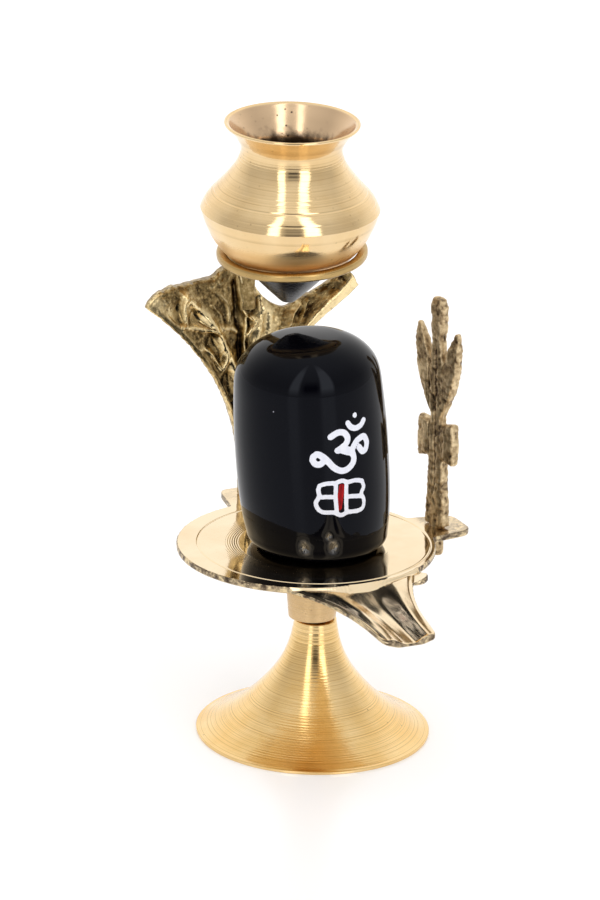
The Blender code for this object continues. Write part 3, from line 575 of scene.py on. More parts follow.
def polished_brass(name, bright, deep, roughness, specks=0.0, rings=0.0):
    """Polished brass: colour that drifts, fine scratches and, if asked, specks and lathe rings."""
    brass = Surface(name)
    colour = brass.mix(brass.span(brass.grain(90.0, 4.0), 0.35, 0.7), bright, deep)
    if specks:
        dots = brass.dots(420.0, (0.12, 0.05), 60.0, 2.0, (0.5, 0.62))
        colour = brass.mix(brass.times(dots, specks), colour, (0.10, 0.06, 0.03))
    haze = brass.scratches()
    normal = brass.bump(haze, 0.004 * MM, 0.5)
    if rings:
        lines = brass.lathe_rings(2.3)
        marks = brass.times(brass.span(lines, 0.52, 0.34), 0.6 * rings)
        colour = brass.mix(marks, colour, (0.56, 0.34, 0.11))
        normal = brass.bump(lines, 0.026 * MM, rings, normal)
    shine = brass.span(haze, 0.3, 0.75, roughness * 0.75, roughness * 1.4)
    return brass.finish(colour, shine, normal=normal)


def cast_brass(name, bright, middle, dark, roughness):
    """Cast brass as it left the sand: dark in its hollows, worn bright where it stands proud."""
    brass = Surface(name)
    coarse = brass.grain(1000.0, 4.0, 0.65)
    rough = brass.minus(1.0, brass.attribute("sleek"))
    speckle = brass.times(brass.span(coarse, 0.25, 0.75, -0.30, 0.30), brass.plus(rough, 0.10))
    worn = brass.plus(brass.attribute("worn"), speckle)
    colour = brass.ramp(worn, ((0.02, dark), (0.42, middle), (0.85, bright)))
    height = brass.plus(coarse, brass.times(brass.grain(3200.0, 3.0, 0.6), 0.4))
    height = brass.times(height, brass.plus(rough, 0.08))
    return brass.finish(colour, brass.span(rough, 0.0, 1.0, 0.2, roughness),
                        normal=brass.bump(height, 0.10 * MM, 0.8))


def dish_brass():
    """One casting with two finishes: the turned face is polished and the rest is as cast."""
    brass = Surface("dish_brass")
    polish, filed = brass.attribute("polish"), brass.attribute("filed")
    coarse = brass.grain(1100.0, 4.0, 0.65)
    drift = brass.grain(70.0, 4.0)
    face = brass.mix(brass.span(drift, 0.35, 0.7), (0.90, 0.74, 0.50), (0.84, 0.65, 0.40))
    worn = brass.plus(brass.attribute("worn"), brass.span(coarse, 0.25, 0.75, -0.35, 0.35))
    rough = brass.ramp(worn, ((0.15, (0.09, 0.065, 0.045)), (0.5, (0.36, 0.28, 0.18)),
                              (0.85, (0.80, 0.64, 0.38))))
    streaks = brass.streaks((1.0, 0.07, 1.0), 1500.0, 4.0, 0.6)
    roughness = brass.plus(brass.span(polish, 0.0, 1.0, 0.34, 0.05), brass.span(drift, 0.3, 0.7, 0.0, 0.05),
                           brass.times(filed, brass.span(streaks, 0.35, 0.65, 0.01, 0.11)))
    height = brass.plus(brass.times(coarse, brass.span(polish, 0.0, 0.8, 1.0, 0.0)),
                        brass.times(streaks, filed, 0.09))
    return brass.finish(brass.mix(polish, rough, face), roughness,
                        normal=brass.bump(height, 0.09 * MM, 0.8))


def black_stone():
    """Polished black stone with painted signs, whose edges come from distances kept on the mesh."""
    stone = Surface("black_stone")
    wobble = stone.span(stone.grain(1500.0, 2.0), 0.0, 1.0, -0.09, 0.09)
    white = stone.span(stone.plus(stone.attribute("white_paint"), wobble), 0.04, -0.04)
    red = stone.span(stone.plus(stone.attribute("red_paint"), wobble), 0.05, -0.05)
    specks = stone.dots(260.0, (0.055, 0.035), 140.0, 1.0, (0.62, 0.66))
    colour = stone.mix(specks, (0.0012, 0.0012, 0.0024), (0.30, 0.30, 0.34))
    pit = stone.span(stone.attribute("pit"), 0.25, 0.8)
    colour = stone.mix(pit, colour, (0.13, 0.125, 0.12))
    brush = stone.streaks((1.0, 1.0, 0.35), 900.0)
    red_colour = stone.mix(stone.span(brush, 0.4, 0.65), (0.50, 0.012, 0.012), (0.16, 0.003, 0.004))
    white_colour = stone.mix(stone.span(brush, 0.3, 0.7), (0.86, 0.88, 0.95), (0.78, 0.80, 0.90))
    colour = stone.mix(white, stone.mix(red, colour, red_colour), white_colour)
    paint = stone.math("MAXIMUM", white, red)
    haze = stone.grain(45.0)
    roughness = stone.math("MAXIMUM", stone.span(haze, 0.3, 0.7, 0.03, 0.075), stone.times(paint, 0.38))
    stone.shader.inputs["Specular IOR Level"].default_value = 0.12
    stone.shader.inputs["Specular Tint"].default_value = (0.80, 0.86, 1.0, 1.0)
    return stone.finish(colour, roughness, pit, stone.bump(haze, 0.25 * MM, 0.25))


def pot_brass():
    """Polished brass outside, duller inside, dark with dirt below its neck, and at its tip painted
    near-black and less metallic: a painted reflection of the black stone below.
    """
    brass = Surface("pot_brass")
    inside, low, dirt, soot = (brass.attribute(name) for name in ("inside", "haze", "dirt", "soot"))
    drift = brass.grain(80.0, 4.0)
    colour = brass.mix(brass.span(drift, 0.35, 0.7), (0.86, 0.65, 0.37), (0.79, 0.56, 0.28))
    rings = brass.lathe_rings(1.3)
    marks = brass.times(brass.span(rings, 0.46, 0.34), brass.span(inside, 0.0, 1.0, 0.36, 0.1),
                        brass.span(drift, 0.36, 0.58, 0.35, 1.0))
    dots = brass.times(brass.dots(520.0, (0.17, 0.09), 70.0, 2.0, (0.46, 0.56)),
                       brass.span(inside, 0.0, 1.0, 0.25, 1.0))
    # The tip's near-black colour, with less metal and less roughness, is a painted reflection of the black
    # stone under the pot.
    for share, tone in ((marks, (0.46, 0.30, 0.13)), (inside, (0.70, 0.50, 0.31)),
                        (brass.times(low, 0.55), (0.78, 0.46, 0.15)), (dots, (0.07, 0.04, 0.02)),
                        (dirt, (0.06, 0.035, 0.018)), (soot, (0.010, 0.009, 0.010))):
        colour = brass.mix(share, colour, tone)
    bare = brass.minus(1.0, brass.times(dirt, 0.6))
    metallic = brass.minus(bare, brass.times(soot, 0.96), clamp=True)
    haze = brass.scratches()
    roughness = brass.plus(brass.span(haze, 0.3, 0.75, 0.06, 0.12), brass.times(inside, 0.10),
                           brass.minus(brass.times(low, 0.36), brass.times(soot, 0.18)))
    height = brass.plus(haze, brass.times(brass.grain(1800.0), dirt, 8.0))
    normal = brass.bump(rings, 0.022 * MM, 0.7, brass.bump(height, 0.006 * MM, 0.6))
    return brass.finish(colour, roughness, metallic, normal)


# Places that the pieces share

def lean_towards(lean, heading):
    """Turns the Z axis by the lean, towards a heading in the XY plane."""
    return Matrix.Rotation(lean, 4, Vector((-math.sin(heading), math.cos(heading), 0.0)))


def foot_place():
    low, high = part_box("foot")
    return Matrix.Translation(((low.x + high.x) / 2, (low.y + high.y) / 2, 0.0))


def dish_place():
    """The dish casting's own frame: on the neck, tipped a little."""
    lift = CONTACT_GAP + BOSS_LOWER_RADIUS * math.sin(DISH_TILT_BACK + DISH_TILT_SIDE)
    tip = Matrix.Rotation(DISH_TILT_SIDE, 4, "Y") @ Matrix.Rotation(-DISH_TILT_BACK, 4, "X")
    return foot_place() @ Matrix.Translation(BOSS_SHIFT + Vector((0.0, 0.0, FOOT_HEIGHT + lift))) @ tip


def pot_place():
    low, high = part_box("kalash")
    return Matrix.Translation(((low.x + high.x) / 2, (low.y + high.y) / 2, low.z))


# Foot

def lathe_marks(line, pitch, depth, seed):
    """Moves a profile in and out along its normals in fine waves, some deeper than others."""
    along = line_length(line)
    slope = np.gradient(line, axis=0)
    normal = np.stack([-slope[:, 1], slope[:, 0]], axis=1)
    normal /= np.linalg.norm(normal, axis=1, keepdims=True)
    spots = np.stack([along, np.zeros_like(along), np.zeros_like(along)], axis=1)
    uneven = 0.65 + 0.6 * value_noise(spots, pitch * 2.3, seed)
    drift = 0.35 * value_noise(spots, pitch * 5, seed + 5)
    wave = 0.5 - 0.5 * np.cos(2 * math.pi * (along / pitch + drift))
    return line + normal * (depth * uneven * wave)[:, None]


def build_foot():
    flare = [(1.0, FOOT_EDGE_HEIGHT * 1.15 / FOOT_HEIGHT)] + list(FOOT_FLARE) + [(0.0, 1.0)]
    outer = [(blend(NECK_RADIUS, FOOT_RADIUS, share), height * FOOT_HEIGHT) for share, height in flare]
    line = even_line(smooth_line(outer, 12)[::-1], LATHE_PITCH / 6)
    marked = lathe_marks(line, LATHE_PITCH, -LATHE_DEPTH, 3)
    for height in NECK_GROOVES:
        marked[:, 0] -= 0.09 * MM * ridge(marked[:, 1], height, 0.16 * MM)
    marked[:, 0] = np.minimum(marked[:, 0], FOOT_RADIUS)
    edge = FOOT_EDGE_HEIGHT
    rim = [(FOOT_RADIUS, edge * 0.85), (FOOT_RADIUS, edge * 0.15), (FOOT_RADIUS - edge * 0.15, 0.0),
           (FOOT_RADIUS - FOOT_WALL * 0.7, 0.0)]
    hollow = [(radius - FOOT_WALL, height - FOOT_WALL * 0.5) for radius, height in smooth_line(outer, 4)
              if FOOT_WALL * 0.5 < height < FOOT_HOLLOW_HEIGHT]
    ceiling = hollow[-1][1] + FOOT_WALL
    cap = [(0.0, FOOT_HEIGHT), (NECK_RADIUS - 0.3 * MM, FOOT_HEIGHT)]
    profile = cap + marked[2:-2].tolist() + rim + hollow + [(hollow[-1][0] * 0.6, ceiling), (0.0, ceiling)]
    return turned("foot_turned", profile, foot_place())


# Dish, boss and spout

def circle_outline(centre, radius, count=180):
    return round_points(radius, turn_angles(count), 0.0)[:, :2] + np.array(centre)


def lug_outline(angle, reach, width):
    """A tongue from inside the dish out to its reach, with round outer corners."""
    half = width / 2
    turn = np.linspace(-math.pi / 2, 0.0, 8)
    corner = np.stack([reach - LUG_CORNER + LUG_CORNER * np.cos(turn),
                       -half + LUG_CORNER + LUG_CORNER * np.sin(turn)], axis=1)
    side = np.concatenate([[(DISH_RADIUS * 0.6, -half * 1.5)], corner])
    points = np.concatenate([side, side[::-1] * (1, -1)])
    along = np.array((math.cos(angle), math.sin(angle)))
    across = np.array((-along[1], along[0]))
    return points[:, :1] * along + points[:, 1:] * across


def spout_share(reach):
    """0 at the spout's root and 1 at its end."""
    return np.clip((reach - SPOUT_ROOT_REACH) / (SPOUT_LENGTH - SPOUT_ROOT_REACH), 0.0, 1.0)


def spout_half(reach):
    return blend(SPOUT_END_WIDTH, SPOUT_ROOT_WIDTH, (1 - spout_share(reach)) ** 2.2) / 2


def spout_outline():
    reach = np.linspace(SPOUT_ROOT_REACH, SPOUT_LENGTH, 60)
    right = np.stack([spout_half(reach), -reach], axis=1)
    return np.concatenate([right, right[::-1] * (-1, 1)]) + np.array(DISH_SHIFT.xy)


def outline_reach(angles, outlines):
    """How far each direction goes from the boss's axis before it leaves the last of the outlines."""
    reach = np.zeros(len(angles))
    direction = np.stack([np.cos(angles), np.sin(angles)], axis=1)[:, None, :]
    for outline in outlines:
        start = outline[None, :, :]
        step = np.roll(outline, -1, axis=0)[None, :, :] - start
        cross = direction[..., 0] * step[..., 1] - direction[..., 1] * step[..., 0]
        cross = np.where(np.abs(cross) < 1e-12, 1e-12, cross)
        distance = (start[..., 0] * step[..., 1] - start[..., 1] * step[..., 0]) / cross
        place = (start[..., 0] * direction[..., 1] - start[..., 1] * direction[..., 0]) / cross
        hit = (place >= 0) & (place <= 1) & (distance > 0)
        reach = np.maximum(reach, np.where(hit, distance, 0.0).max(axis=1))
    return reach


def spout_places(x, y):
    """A place's reach, its shares of the spout's length and half width, and the channel's depth."""
    reach = -(y - DISH_SHIFT.y)
    share = spout_share(reach)
    place = np.abs(x - DISH_SHIFT.x) / spout_half(reach)
    return reach, share, place, CHANNEL_DEPTH * smooth_step(0.0, 0.45, share)


def dish_top(x, y):
    """Height of the casting's upper side over the dish's face, in the dish's frame."""
    from_middle = np.hypot(x - DISH_SHIFT.x, y - DISH_SHIFT.y)
    reach, share, place, depth = spout_places(x, y)
    channel = -depth * (1 - smooth_step(0.12, 0.72, place))
    edge = -0.35 * MM * smooth_step(0.88, 1.0, place)
    spout = -SPOUT_STEP - SPOUT_DROP * share ** 1.6 + channel + edge
    in_spout = smooth_step(DISH_RADIUS - 0.35 * MM, DISH_RADIUS + 0.15 * MM, from_middle) * (reach > 0)
    return spout * in_spout * (1 - smooth_step(1.0, 1.3, place))


def dish_polish(x, y):
    """1 on the filed and polished upper side, and less on the lugs, which stay as cast."""
    on_back = smooth_step(1.5 * MM, 4.0 * MM, y - DISH_SHIFT.y - DISH_RADIUS)
    on_side = smooth_step(-0.5 * MM, 2.0 * MM, x - DISH_SHIFT.x - DISH_RADIUS)
    return 1 - 0.2 * on_back - 0.6 * on_side


def dish_under(x, y):
    """How far the underside lies below the face, in the dish's frame."""
    _, share, place, depth = spout_places(x, y)
    thickness = blend(DISH_THICKNESS, SPOUT_THICKNESS, smooth_step(0.2, 0.8, share))
    belly = depth * 0.6 * (1 - smooth_step(0.35, 1.0, place))
    return thickness + SPOUT_DROP * share ** 1.6 + belly


def dish_reach(angles):
    """How far the casting goes in each direction from the boss's axis, with its corners eased."""
    ear = (DISH_SHIFT.x + EAR_SIDE - EAR_RADIUS, DISH_SHIFT.y - EAR_REACH + EAR_RADIUS)
    outlines = [circle_outline(DISH_SHIFT.xy, DISH_RADIUS), lug_outline(*BACK_LUG), lug_outline(*SIDE_LUG),
                spout_outline(), circle_outline(ear, EAR_RADIUS, 60)]
    reach = outline_reach(angles, outlines)
    window = np.array((1, 2, 3, 2, 1)) / 9
    return np.convolve(np.concatenate([reach[-2:], reach, reach[:2]]), window, mode="valid")


def dish_radii(reach):
    """Radii of the rings on the upper side, closest where the lathe's marks and the face's line are."""
    inner = np.concatenate([[0.0, 8 * MM, 14 * MM], np.linspace(*RING_MARKS, 72),
                            np.linspace(25.8 * MM, FACE_RADIUS - 0.6 * MM, 5),
                            FACE_RADIUS + np.array((-0.35, -0.2, -0.1, 0.0, 0.1, 0.2, 0.35)) * MM])
    radii = [np.full(len(reach), radius) for radius in inner]
    start = inner[-1]
    return radii + [start + (reach - RIM_ROUND - start) * share for share in np.linspace(0.0, 1.0, 40)[1:]]


def build_dish():
    """The dish with its lugs and spout, on rings about the boss's axis."""
    angles = turn_angles(DISH_SECTORS)
    reach = dish_reach(angles)
    rings = []
    polish = []
    for radius in dish_radii(reach):
        x, y = radius * np.cos(angles), radius * np.sin(angles)
        wave = np.cos(2 * math.pi * (radius - RING_MARKS[0]) / RING_MARK_PITCH)
        fading = (1 - smooth_step(*RING_MARKS, radius)) * (0.5 - 0.5 * wave)
        in_marks = (radius > RING_MARKS[0]) & (radius < RING_MARKS[1])
        height = BOSS_HEIGHT + dish_top(x, y) - np.where(in_marks, RING_MARK_DEPTH * fading, 0.0)
        height = height - 0.22 * MM * ridge(radius, FACE_RADIUS, 0.16 * MM)
        rings.append(np.stack([x, y, height], axis=1))
        polish.append(dish_polish(x, y))
    top_rings = len(rings)
    last_top = rings[-1][:, 2]
    for turn in (math.radians(25), math.radians(55), math.radians(90)):
        radius = reach - RIM_ROUND * (1 - math.sin(turn))
        rings.append(round_points(radius, angles, last_top - RIM_ROUND * (1 - math.cos(turn))))
    side_top = rings[-1][:, 2]
    bottom = BOSS_HEIGHT - dish_under(reach * np.cos(angles), reach * np.sin(angles))
    for share in (0.25, 0.5, 0.75, 1.0):
        rings.append(round_points(reach, angles, blend(side_top, bottom + RIM_ROUND, share)))
    under_rings = len(rings)
    for share in (0.0, 0.03, 0.08, 0.15, 0.25, 0.4, 0.55, 0.7, 0.85):
        radius = blend(reach - RIM_ROUND * 0.7, BOSS_UPPER_RADIUS * 0.8, share)
        under = dish_under(radius * np.cos(angles), radius * np.sin(angles))
        rings.append(round_points(radius, angles, BOSS_HEIGHT - under))
    polish += [np.zeros(DISH_SECTORS)] * (len(rings) - top_rings)
    points = np.concatenate(rings)
    smooth = np.concatenate(polish)
    lumps = rough_noise(points, 1.6 * MM, 21)
    grit = rough_noise(points, 0.55 * MM, 31, 2)
    rows = np.repeat(np.arange(len(rings)), DISH_SECTORS)
    on_side = (rows >= top_rings) & (rows < under_rings)
    outward = round_points(1.0, np.tile(angles, len(rings)), 0.0)
    push = np.where(on_side[:, None], outward * (-0.14 * MM), np.array((0.0, 0.0, -0.05 * MM)))
    points = points + push * ((1 - smooth) * (0.5 + 0.5 * lumps + 0.45 * grit))[:, None]
    grid = placed(dish_place(), points).reshape(len(rings), DISH_SECTORS, 3)
    dish = skin("dish_casting", grid, sharp=180.0)
    forward = DISH_SHIFT.y - points[:, 1]
    from_middle = np.hypot(points[:, 0] - DISH_SHIFT.x, forward)
    filed = smooth_step(DISH_RADIUS + 0.2 * MM, DISH_RADIUS + 1.5 * MM, from_middle) * (forward > 10 * MM)
    give_grid_values(dish, grid, polish=smooth, filed=filed * smooth,
                     worn=0.5 + 0.35 * lumps + 0.25 * grit + 0.4 * (rows >= under_rings))
    return dish


def build_boss():
    low = BOSS_HEIGHT - DISH_THICKNESS
    outer = [(BOSS_UPPER_RADIUS + 0.5 * MM, low + 0.2 * MM), (BOSS_UPPER_RADIUS, low - 0.3 * MM),
             (BOSS_UPPER_RADIUS - 0.1 * MM, low - 2.0 * MM),
             (blend(BOSS_LOWER_RADIUS, BOSS_UPPER_RADIUS, 0.5), low / 2),
             (BOSS_LOWER_RADIUS + 0.05 * MM, 0.8 * MM), (BOSS_LOWER_RADIUS, 0.35 * MM)]
    line = lathe_marks(even_line(smooth_line(outer, 8), PROFILE_STEP), 0.7 * MM, -0.006 * MM, 8)
    profile = [(0.0, low + 0.4 * MM), (BOSS_UPPER_RADIUS, low + 0.4 * MM)] + line.tolist()
    profile += [(BOSS_LOWER_RADIUS - 0.35 * MM, 0.0), (0.0, 0.0)]
    return turned("boss_turned", profile, dish_place())


# Stone

def lingam_profile():
    """Radius and height along the stone's own axis, from its crown down to its level base."""
    side_top = LINGAM_HEIGHT - LINGAM_TOP_ROUND
    turn = np.linspace(math.pi / 2, 0.0, 40)
    radius = LINGAM_SHOULDER_RADIUS - LINGAM_TOP_ROUND * (1 - np.cos(turn))
    crown = LINGAM_TOP_CROWN * (radius / LINGAM_SHOULDER_RADIUS) ** 2
    dome = np.stack([radius, side_top + (LINGAM_TOP_ROUND - crown) * np.sin(turn)], axis=1)
    start = dome[0]
    cap = np.stack([np.linspace(0.02, 1.0, 22)[:-1] * start[0]] * 2, axis=1)
    cap[:, 1] = LINGAM_HEIGHT - (LINGAM_HEIGHT - start[1]) * (cap[:, 0] / start[0]) ** 2
    side = smooth_line([tuple(dome[-1]), (LINGAM_RADIUS, blend(LINGAM_WIDEST_HEIGHT, side_top, 0.5)),
                        (LINGAM_RADIUS, LINGAM_WIDEST_HEIGHT),
                        (blend(LINGAM_BASE_RADIUS, LINGAM_RADIUS, 0.6), LINGAM_WIDEST_HEIGHT * 0.5),
                        (LINGAM_BASE_RADIUS, LINGAM_BASE_ROUND)], 30)
    turn = np.linspace(0.0, math.pi / 2, 12)[1:]
    base = np.stack([LINGAM_BASE_RADIUS - LINGAM_BASE_ROUND * (1 - np.cos(turn)),
                     LINGAM_BASE_ROUND * (1 - np.sin(turn))], axis=1)
    line = even_line(np.concatenate([cap, dome[:-1], side, base]), 0.36 * MM)
    near_edge = np.exp(-((line[:, 1:] - side_top) / (5 * MM)) ** 2)
    for _ in range(60):
        mean = (line[:-2] + 2 * line[1:-1] + line[2:]) / 4
        line[1:-1] = blend(line[1:-1], mean, near_edge[1:-1])
    return line


def stroke_distance(points, width, *strokes):
    """Distance in millimetres from points to the edge of round brush strokes, negative inside."""
    away = [line_distance(points, smooth_line(stroke, 6)) for stroke in strokes]
    return np.minimum.reduce(away) - width / 2


def build_lingam():
    """The stone: rings that start level on the dish and end square to the leaning axis."""
    angles = turn_angles(STONE_SECTORS)
    profile = lingam_profile()
    axis = np.array(lean_towards(LINGAM_LEAN, LINGAM_LEAN_TOWARDS))[:3, 2]
    rings = []
    pits = []
    for radius, height in profile:
        lean = LINGAM_LEAN * float(smooth_step(0.0, 0.5, height / LINGAM_HEIGHT))
        low = 1 - float(smooth_step(4 * MM, 12 * MM, height))
        spots = round_points(radius, angles, height)
        uneven = 1 + 0.004 * np.sin(2 * angles + 1.0 + 25 * height) * min(height / (20 * MM), 1.0)
        uneven = uneven - 0.0022 * low * (0.5 + 0.5 * value_noise(spots, 1.9 * MM, 5))
        pit = np.zeros(STONE_SECTORS)
        for heading, level, size in LINGAM_DENTS:
            turn = half_turn(angles - math.radians(heading))
            away = (turn * radius / size) ** 2 + ((height - level) / (size * 1.25)) ** 2
            uneven = uneven - 0.036 * np.exp(-away) * (1 + 0.7 * value_noise(spots, 0.8 * MM, 15))
            pit = np.maximum(pit, np.exp(-0.6 * away))
        pits.append(pit)
        ring = round_points(radius * uneven, angles, 0.0)
        rings.append(placed(lean_towards(lean, LINGAM_LEAN_TOWARDS), ring) + axis * height)
    on_dish = LINGAM_SHIFT + Vector((0.0, 0.0, BOSS_HEIGHT + CONTACT_GAP))
    grid = placed(dish_place() @ Matrix.Translation(on_dish), np.stack(rings))
    stone = skin("lingam_stone", grid, sharp=180.0)
    along = LINGAM_RADIUS / MM * half_turn(np.tile(angles, len(profile)) - SIGN_HEADING)
    spots = np.stack([along, np.repeat(profile[:, 1] / MM, STONE_SECTORS)], axis=1)
    white = (stroke_distance(spots, OM_WIDTH, OM_UPPER, OM_LOWER, OM_CURL),
             stroke_distance(spots, CRESCENT_WIDTH, OM_CRESCENT),
             stroke_distance(spots, KNOT_WIDTH, OM_KNOT),
             stroke_distance(spots, DOT_WIDTH, OM_DOT),
             stroke_distance(spots, STROKE_WIDTH, FRAME_TOP, FRAME_RIGHT, FRAME_BOTTOM, FRAME_LEFT,
                             FRAME_MIDDLE_LEFT, FRAME_MIDDLE_RIGHT, BAR_LEFT, BAR_RIGHT))
    give_grid_values(stone, grid, pit=pits, white_paint=np.minimum.reduce(white),
                     red_paint=stroke_distance(spots, RED_WIDTH, RED_MARK))
    return stone


# Hood and crest

def hood_half_width(rise):
    return blend(HOOD_STEM_HALF_WIDTH, HOOD_HALF_WIDTH, rise ** HOOD_SPREAD_POWER)


def hood_point(side, rise):
    """Points in the hood's middle surface, from its stem (rise 0) to its top line (rise 1)."""
    top_line = smooth_line(HOOD_TOP_LINE, 8)
    top = np.interp(side, top_line[:, 0], top_line[:, 1]) * MM
    height = HOOD_TIP_HEIGHT * rise + top * rise ** 4
    back = HOOD_LEAN_BACK * rise ** 1.5 - HOOD_WINGS_FORWARD * side * side * rise ** 2
    return np.stack([side * hood_half_width(rise), back, height], axis=-1)


def hood_drawing(side, rise):
    """The same points seen from the front, across and up in millimetres."""
    return hood_point(side, rise)[..., (0, 2)] / MM


def hood_carving(side, rise):
    """The carving's height in millimetres, how bright the metal is worn and how smooth it is."""
    grid = hood_drawing(side, rise)
    edge = (1 - np.abs(side)) * hood_half_width(rise) / MM
    from_top = (1 - rise) * HOOD_TIP_HEIGHT / MM
    height = np.zeros(side.shape)
    worn = np.full(side.shape, 0.34)
    smooth = np.full(side.shape, 0.12)
    for centre, half, depth, shade, sheen in HOOD_HOLLOWS:
        offset = (grid - hood_drawing(*centre)) / np.array(half)
        share = np.exp(-(offset[..., 0] ** 2 + offset[..., 1] ** 2) ** 1.6)
        height -= depth * share
        worn = blend(worn, shade, share)
        smooth = blend(smooth, sheen, share)
    band = (1 - smooth_step(2.0, 3.3, from_top)) * (1 - smooth_step(-0.2, 0.0, side))
    height += 0.55 * band
    worn = blend(worn, 0.30, band)
    smooth = blend(smooth, 0.0, band)
    crust = (1 - smooth_step(-0.93, -0.80, side)) * smooth_step(0.86, 0.95, rise)
    worn = blend(worn, 0.72, crust)
    for stroke, width, tall, shade, sheen in HOOD_STROKES:
        line = smooth_line([hood_drawing(*place) for place in stroke], 5)
        share = np.exp(-(line_distance(grid, line) / (1.3 * width)) ** 2)
        height += tall * share
        worn = blend(worn, shade, share)
        smooth = blend(smooth, sheen, share)
    right = (1 - smooth_step(1.0, 2.0, edge)) * (side > 0)
    border = np.maximum(1 - smooth_step(0.7, 1.5, edge), right)
    height += (0.75 - height * 0.6) * border
    worn = blend(worn, np.where(side > 0, 0.86, 0.62), border)
    smooth = blend(smooth, np.where(side > 0, 0.85, 0.25), border)
    centre, half = HOOD_DIMPLE
    offset = (grid - hood_drawing(*centre)) / np.array(half)
    dimple = np.exp(-offset[..., 0] ** 2 - offset[..., 1] ** 2)
    height -= 0.9 * dimple
    worn = blend(worn, 0.02, dimple)
    return height * smooth_step(0.08, 0.35, rise), worn, smooth


def hood_trim(side, rise):
    """Sets the right border in and lowers the top line at its tip and beside the ring."""
    inward = np.interp(rise, *HOOD_INSET) * MM * smooth_step(0.45, 1.0, side)
    lower = 0.5 * MM * smooth_step(0.88, 1.0, side) * rise ** 8
    for middle, width, depth, power in HOOD_DIPS:
        lower = lower + depth * ridge(side, middle, width) * rise ** power
    return np.stack([-inward, np.zeros(side.shape), -lower], axis=-1)


def build_hood():
    """The hood: a carved front and a plain rear on one middle surface, closed along its edges."""
    side, rise = np.meshgrid(np.linspace(-1, 1, HOOD_COLUMNS), np.linspace(0, 1, HOOD_ROWS))
    middle = hood_point(side, rise)
    carving, worn, smooth = hood_carving(side, rise)
    grit = 0.55 * rough_noise(middle, 1.7 * MM, 41) + 0.5 * rough_noise(middle, 0.75 * MM, 47, 2)
    waves = rough_noise(middle, 3.4 * MM, 43, 2)
    fade = 1 - np.abs(side) ** 14
    depth = blend(2.2, 1.0, smooth_step(0.0, 0.45, rise)) * HOOD_THICKNESS * (1 - 0.55 * np.abs(side) ** 6)
    roughness = (0.36 * grit * (1 - smooth) + 0.20 * waves) * smooth_step(0.05, 0.3, rise)
    relief = np.maximum(carving, -1.1) + roughness
    nibble = np.zeros(middle.shape)
    chips = np.abs(rough_noise(middle, 1.3 * MM, 61, 2))
    nibble[..., 0] = 0.3 * MM * chips * np.abs(side) ** 10 * np.sign(side)
    chips = np.abs(rough_noise(middle, 1.6 * MM, 67, 2))
    nibble[..., 2] = 0.45 * MM * chips * smooth_step(0.97, 1.0, rise)
    front = middle - nibble + hood_trim(side, rise)
    rear = front[:, ::REAR_STEP].copy()
    front[..., 1] -= depth / 2 + relief * MM * fade
    rear_grit = rough_noise(middle[:, ::REAR_STEP], 2.6 * MM, 51)
    rear[..., 1] += (depth / 2)[:, ::REAR_STEP] + 0.12 * MM * (rear_grit - 1.2) * fade[:, ::REAR_STEP]
    rear_edge = np.stack([np.interp(side[-1], side[-1, ::REAR_STEP], rear[-1, :, axis])
                          for axis in range(3)], axis=-1)
    seam = (front[-1] + rear_edge) / 2
    grid = np.concatenate([front, rear[:, ::-1]], axis=1)
    seam = np.concatenate([seam, seam[::REAR_STEP][::-1]])
    grid = placed(hood_place(), np.concatenate([grid, seam[None]]))
    hood = skin("hood_cast", grid, sharp=180.0)
    rows = {"worn": (worn + 0.13 * grit + 0.10 * waves, 0.40 + 0.09 * rear_grit),
            "sleek": (smooth, np.full(rear_grit.shape, 0.15))}
    for name, (ahead, behind) in rows.items():
        table = np.concatenate([ahead, behind[:, ::-1]], axis=1)
        rows[name] = np.concatenate([table, table[-1:]])
    give_grid_values(hood, grid, **rows)
    return hood


def hood_place():
    on_lug = Vector((HOOD_SIDE, BACK_LUG[1] - HOOD_STAND_BACK, BOSS_HEIGHT + CONTACT_GAP))
    return dish_place() @ Matrix.Translation(on_lug)


def hood_crest():
    """The flat top of the crest, where the ring's arm lies, in the hood's frame."""
    top = hood_point(CREST_SIDE / HOOD_HALF_WIDTH, 1.0)
    return Vector((CREST_SIDE, top[1] + CREST_DEPTH / 5, top[2] + CREST_HEIGHT))


def rounded_rectangle(half_width, half_depth, corner, pieces=6):
    """Points round a rectangle with round corners, anticlockwise."""
    points = []
    for quarter, (sign_x, sign_y) in enumerate(((1, 1), (-1, 1), (-1, -1), (1, -1))):
        for piece in range(pieces + 1):
            angle = math.pi / 2 * (quarter + piece / pieces)
            points.append((sign_x * (half_width - corner) + corner * math.cos(angle),
                           sign_y * (half_depth - corner) + corner * math.sin(angle)))
    return np.array(points)


def build_crest():
    """The upright bar on the hood's top line, wider towards its flat top."""
    low = hood_point(CREST_SIDE / HOOD_HALF_WIDTH, 0.86)
    high = np.array(hood_crest())
    section = even_line(rounded_rectangle(CREST_WIDTH / 2, CREST_DEPTH / 2, CREST_DEPTH / 4), 0.25 * MM)
    section = np.concatenate([section, np.zeros((len(section), 1))], axis=1)
    grid = np.stack([blend(low, high, share) + section * (blend(0.7, 1.0, share), 1.0, 1.0)
                     for share in np.linspace(0.0, 1.0, 30)])
    shrink = 1 - 0.035 * np.abs(rough_noise(grid, 1.4 * MM, 71))
    centre = grid.mean(axis=1, keepdims=True)
    grid = centre + (grid - centre) * shrink[..., None]
    crest = skin("hood_crest", placed(hood_place(), grid), sharp=50.0)
    give_values(crest, worn=0.4, sleek=0.2)
    return crest


# Ring

def build_ring():
    """The turned ring, in its tilted place."""
    section = rounded_rectangle(RING_BAND / 2, RING_HEIGHT / 2, RING_CORNER)[::-1]
    radius = RING_RADIUS - RING_BAND / 2 + section[:, :1]
    _, centre, tilt = ring_place()
    grid = round_points(radius, turn_angles(TURNED_STEPS), section[:, 1:])
    return skin("ring_turned", placed(Matrix.Translation(centre) @ tilt, grid), wrap_rows=True, sharp=180.0)


